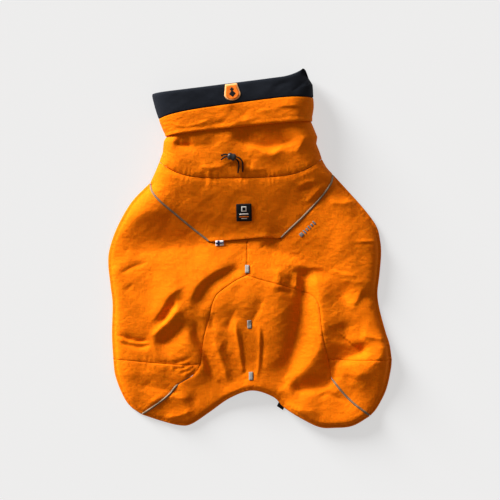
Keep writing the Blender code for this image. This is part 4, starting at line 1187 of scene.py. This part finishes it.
class PARKA_OT_labels(bpy.types.Operator):
    """Make the neck label, the collar tag, the flag tab and the hem tab, with plain motifs"""

    bl_idname = "parka.labels"
    bl_label = "Labels and tabs"

    def execute(self, context):
        black = plain_finish("label_black", (0.012, 0.012, 0.014), 0.8)
        white = plain_finish("label_white", (0.62, 0.60, 0.57), 0.8)
        orange = plain_finish("label_orange", (0.85, 0.22, 0.02), 0.75)
        rim = plain_finish("tag_rim", (0.95, 0.50, 0.22), 0.6)
        blue = plain_finish("flag_blue", (0.015, 0.03, 0.12), 0.8)
        snow = plain_finish("flag_white", (0.80, 0.80, 0.82), 0.8)

        x, y, width, height, turn = NECK_LABEL
        lay("neck_label_patch", rounded_rectangle(width, height, 1.2), (x, y, turn), 0.8, upper_heights,
            black, node="neck_label")
        for name, size, dy, finish, lift in (
                ("square", (8.0, 8.0, 0.6), 5.2, white, 0.85), ("field", (4.6, 4.6, 0.4), 5.2, black, 1.02),
                ("bar_1", (14.0, 2.2, 0.4), -2.6, white, 0.85),
                ("bar_2", (14.0, 1.4, 0.4), -6.4, orange, 0.85),
                ("bar_3", (9.0, 1.0, 0.4), -9.0, white, 0.85)):
            lay(f"neck_label_{name}", rounded_rectangle(*size), beside(NECK_LABEL, 0.0, dy), 0.25,
                upper_heights, finish, lift, 1.0)

        def band(at):
            return upper_heights(at) + 0.2

        x, y, width, height, turn = COLLAR_TAG
        lay("collar_tag_patch", tag_shape(width, height), (x, y, turn), 0.8, band, rim,
            node="collar_tag")
        lay("collar_tag_field", tag_shape(width - 4, height - 4), (x, y - 0.3, turn), 0.4, band, orange,
            0.75, 1.2)
        for number, (dy, size) in enumerate([(4.2, 4.6), (-2.2, 7.2)], start=1):
            lay(f"collar_tag_motif_{number}", rounded_rectangle(size, size, 0.8),
                beside(COLLAR_TAG, 0, dy, 45), 0.25, band, black, 1.2, 1.0)

        def yoke_lip(at):
            return upper_heights(at) + YOKE_LIP * ramp(at[:, 1], *YOKE_LIP_ALONG)

        x, y, width, height, turn = FLAG_TAB
        lay("flag_tab_ribbon", rounded_rectangle(width, height, 0.5), (x, y, turn), 0.7, yoke_lip, snow,
            node="flag_tab")
        for number, (size, dx) in enumerate([((3.2, height - 0.6), -1.6), ((width - 0.8, 2.4), 0.0)],
                                            start=1):
            lay(f"flag_tab_stripe_{number}", rounded_rectangle(*size, 0.3), beside(FLAG_TAB, dx, 0), 0.2,
                yoke_lip, blue, 0.62 + 0.04 * number, 1.0)

        mesh = laid_mesh("hem_tab_ribbon", refined(HEM_TAB, 1.6), 1.6, 0.9,
                         lambda at: np.maximum(hem_lift(at) - 1.3, 0.0))
        show("hem_tab_ribbon", mesh, [black], "hem_tab")
        return {"FINISHED"}


class PARKA_OT_reflective_marks(bpy.types.Operator):
    """Make the reflective marks down the spine and the plain print on the right shoulder"""

    bl_idname = "parka.reflective_marks"
    bl_label = "Reflective marks"

    def execute(self, context):
        bright = plain_finish("mark_silver", (0.27, 0.26, 0.25), 0.5)
        dull = plain_finish("print_silver", (0.22, 0.22, 0.23), 0.5)
        for node, (x, y, width, height, turn) in SPINE_MARKS.items():
            lay(f"{node}_strip", rounded_rectangle(width, height, 1.0), (x, y, turn), 0.6, upper_heights,
                bright, node=node)
        reach = 0.0
        for number, (width, height) in enumerate(PRINT_BARS, start=1):
            (x, y), = placed([(reach + 0.5 * width, 0)], *PRINT_AT, PRINT_TURN)
            reach += width + PRINT_GAP
            lay(f"shoulder_print_{number}", rounded_rectangle(width, height, 0.8), (x, y, PRINT_TURN), 0.3,
                upper_heights, dull, step=1.2)
        return {"FINISHED"}


def stitch_row(bm, path):
    """Stitches along a path in mm, each a small closed bead of thread."""
    size = Matrix.Diagonal((0.5 * STITCH_LENGTH, 0.5 * STITCH_THICKNESS, 0.5 * STITCH_THICKNESS, 1.0))
    for place, run in zip(*evenly(path, STITCH_PITCH)):
        turn = Vector(run).to_track_quat("X", "Z").to_matrix().to_4x4()
        where = Matrix.Translation(Vector(place) - Vector((0, 0, STITCH_SINK)))
        bmesh.ops.create_icosphere(bm, subdivisions=1, radius=1.0, matrix=where @ turn @ size)


class PARKA_OT_topstitching(bpy.types.Operator):
    """Make the stitches along the hem, the yoke's edge and the seams"""

    bl_idname = "parka.topstitching"
    bl_label = "Topstitching"

    def execute(self, context):
        bm = bmesh.new()
        hem = inset(FINE_BODY_CURVE, HEM_STITCH_IN * np.ones(len(FINE_BODY_CURVE)))
        rows = [(hem[hem[:, 1] < HEM_STITCH_TOP], 0.0)]
        for seam, side in (("cross_seam_left", -1), ("cross_seam_right", 1), ("arch_left", 1),
                           ("arch_right", -1), ("centre_seam", 1)):
            line = smooth_curve(CURVES[seam], 3.0)
            rows.append((line + squares_to(line) * side * SEAM_STITCH_OFF, 0.0))
        rows.append((YOKE_EDGE + squares_to(YOKE_EDGE) * LIP_STITCH_IN,
                     YOKE_LIP * np.exp(-(LIP_STITCH_IN / YOKE_LIP_REACH)**2)))
        for line, lift in rows:
            stitch_row(bm, np.column_stack([line, upper_heights(line) + lift]))
        thread = plain_finish("shell_thread", (0.80, 0.20, 0.012), 0.6)
        bm.loops.layers.uv.new("cloth")
        show("topstitching", cloth_mesh("topstitching", bm), [thread])
        return {"FINISHED"}


def height_at(x, y):
    """Height of the parka's upper side at one place, in mm."""
    return float(upper_heights(np.array([(x, y)], float))[0])


def lock_height():
    """Height of the cord lock's middle over the floor, in mm."""
    x, y, over_collar = LOCK_MIDDLE
    return height_at(x, y) + over_collar


def strand_path(route):
    """A strand's centreline in mm."""
    return smooth_curve([(x, y, lock_height() if lift == IN_LOCK else height_at(x, y) + lift)
                         for x, y, lift in route], STRAND_STEP)


class PARKA_OT_drawcord(bpy.types.Operator):
    """Make the cord lock and the two strands of the drawcord"""

    bl_idname = "parka.drawcord"
    bl_label = "Drawcord"

    def execute(self, context):
        turn = np.radians(LOCK_TURN)
        along = Vector((np.cos(turn), np.sin(turn), 0))
        across = Vector((-np.sin(turn), np.cos(turn), 0))
        middle = Vector((*LOCK_MIDDLE[:2], lock_height()))
        half = 0.5 * LOCK_LENGTH
        bm = bmesh.new()
        rings = []
        for t in np.sin(np.linspace(-0.5, 0.5, 15) * np.pi):
            waist = 1.0 - 0.16 * np.exp(-(t / 0.35)**2)
            end = (1 - abs(t)**6)
            sizes = [(least + (most - least) * (1 - t**4)) * waist * (0.72 + 0.28 * end)
                     for most, least in (LOCK_HALF_WIDTH, LOCK_HALF_HEIGHT)]
            rings.append((half * t, *sizes))
        rings += [(half * 0.98, *LOCK_BORE), (-half * 0.98, *LOCK_BORE)]
        loops = []
        for reach, wide, high in rings:
            circle = bmesh.ops.create_circle(bm, segments=28, radius=1.0)["verts"]
            for vert in circle:
                up = Vector((0, 0, high * vert.co.y))
                vert.co = middle + along * reach + across * wide * vert.co.x + up
            loops.append([edge for edge in bm.edges if all(vert in circle for vert in edge.verts)])
        for a, b in zip(loops, loops[1:] + loops[:1]):
            bmesh.ops.bridge_loops(bm, edges=a + b)
        plastic = moulded_finish("lock_plastic", (0.030, 0.030, 0.033), 0.30, 0.02)
        lock = show("cord_lock_body", cloth_mesh("cord_lock_body", bm), [plastic], "cord_lock")
        cord = cloth_finish("cord_braid", (0.010, 0.010, 0.011), 0.7, 0.0006, 0.25, 0.2, 0.1)
        for node, route in STRANDS.items():
            path = strand_path(route)
            obj = show(f"{node}_strand", tube_mesh(f"{node}_strand", path, STRAND_RADIUS), [cord],
                       node)
        return {"FINISHED"}


class PARKA_OT_stage(bpy.types.Operator):
    """Make the pale floor, the lights and the camera straight above"""

    bl_idname = "parka.stage"
    bl_label = "Stage"

    def execute(self, context):
        scene = context.scene
        look = scene.parka_stage
        bm = bmesh.new()
        bmesh.ops.create_grid(bm, x_segments=2, y_segments=2, size=3.0)
        bmesh.ops.translate(bm, vec=(0, 0, -0.0002), verts=bm.verts)
        mesh = bpy.data.meshes.new("floor")
        bm.to_mesh(mesh)
        bm.free()
        floor = bpy.data.objects.new("floor", mesh)
        scene.collection.objects.link(floor)
        material, tree, shader = shader_of("floor_paint")
        grain = noise_at(tree, tree.nodes.new("ShaderNodeTexCoord").outputs["Object"], 3.0, 2.0)
        fill(tree, shader, {
            "Roughness": uneven_roughness(tree, grain, 0.1, 0.85), "Base Color": (*look.floor_colour, 1),
            "Emission Color": (1, 1, 1, 1), "Emission Strength": look.floor_glow, "Specular IOR Level": 0.1})
        mesh.materials.append(material)

        lamp = bpy.data.lights.new("sun", "SUN")
        lamp.energy = look.sun_strength
        lamp.angle = 0.40
        lamp.color = (1.0, 0.99, 0.97)
        sun = bpy.data.objects.new("sun", lamp)
        towards = Vector((np.cos(look.sun_side) * np.cos(look.sun_height),
                          np.sin(look.sun_side) * np.cos(look.sun_height), np.sin(look.sun_height)))
        sun.rotation_euler = towards.to_track_quat("Z", "Y").to_euler()
        sun.location = towards * 3
        scene.collection.objects.link(sun)

        world = scene.world or bpy.data.worlds.new("sky")
        scene.world = world
        world.use_nodes = True
        fill(world.node_tree, world.node_tree.nodes["Background"],
             {"Color": (1.0, 0.86, 0.76, 1), "Strength": look.sky_strength})

        lens = bpy.data.cameras.new("camera")
        lens.lens = LENS
        lens.sensor_width = SENSOR
        camera = bpy.data.objects.new("camera", lens)
        camera.location = (*VIEW_MIDDLE, VIEW_WIDTH * LENS / SENSOR + VIEW_LEVEL)
        scene.collection.objects.link(camera)
        scene.camera = camera
        scene.view_settings.view_transform = "Standard"
        scene.view_settings.gamma = 0.88
        return {"FINISHED"}


# ---- sidebar and registration ----

STEPS = [PARKA_OT_stage, PARKA_OT_drawcord, PARKA_OT_upper_panels, PARKA_OT_belly_panel, PARKA_OT_collar,
         PARKA_OT_piping, PARKA_OT_labels, PARKA_OT_reflective_marks, PARKA_OT_topstitching]


class PARKA_PT_sidebar(bpy.types.Panel):
    bl_idname = "PARKA_PT_sidebar"
    bl_label = "Dog parka"
    bl_space_type = "VIEW_3D"
    bl_region_type = "UI"
    bl_category = "Parka"

    def draw(self, context):
        for holder in (context.scene.parka_cloth, context.scene.parka_stage):
            box = self.layout.box()
            for name in type(holder).__annotations__:
                box.prop(holder, name)
        for step in STEPS:
            self.layout.operator(step.bl_idname)


CLASSES = [ClothLook, StageLook, *STEPS, PARKA_PT_sidebar]


def register():
    for cls in CLASSES:
        bpy.utils.register_class(cls)
    bpy.types.Scene.parka_cloth = PointerProperty(type=ClothLook)
    bpy.types.Scene.parka_stage = PointerProperty(type=StageLook)


def unregister():
    del bpy.types.Scene.parka_stage
    del bpy.types.Scene.parka_cloth
    for cls in reversed(CLASSES):
        bpy.utils.unregister_class(cls)


def main():
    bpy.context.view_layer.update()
    register()
    for step in STEPS:
        group, name = step.bl_idname.split(".")
        getattr(getattr(bpy.ops, group), name)()


if __name__ == "__main__":
    main()
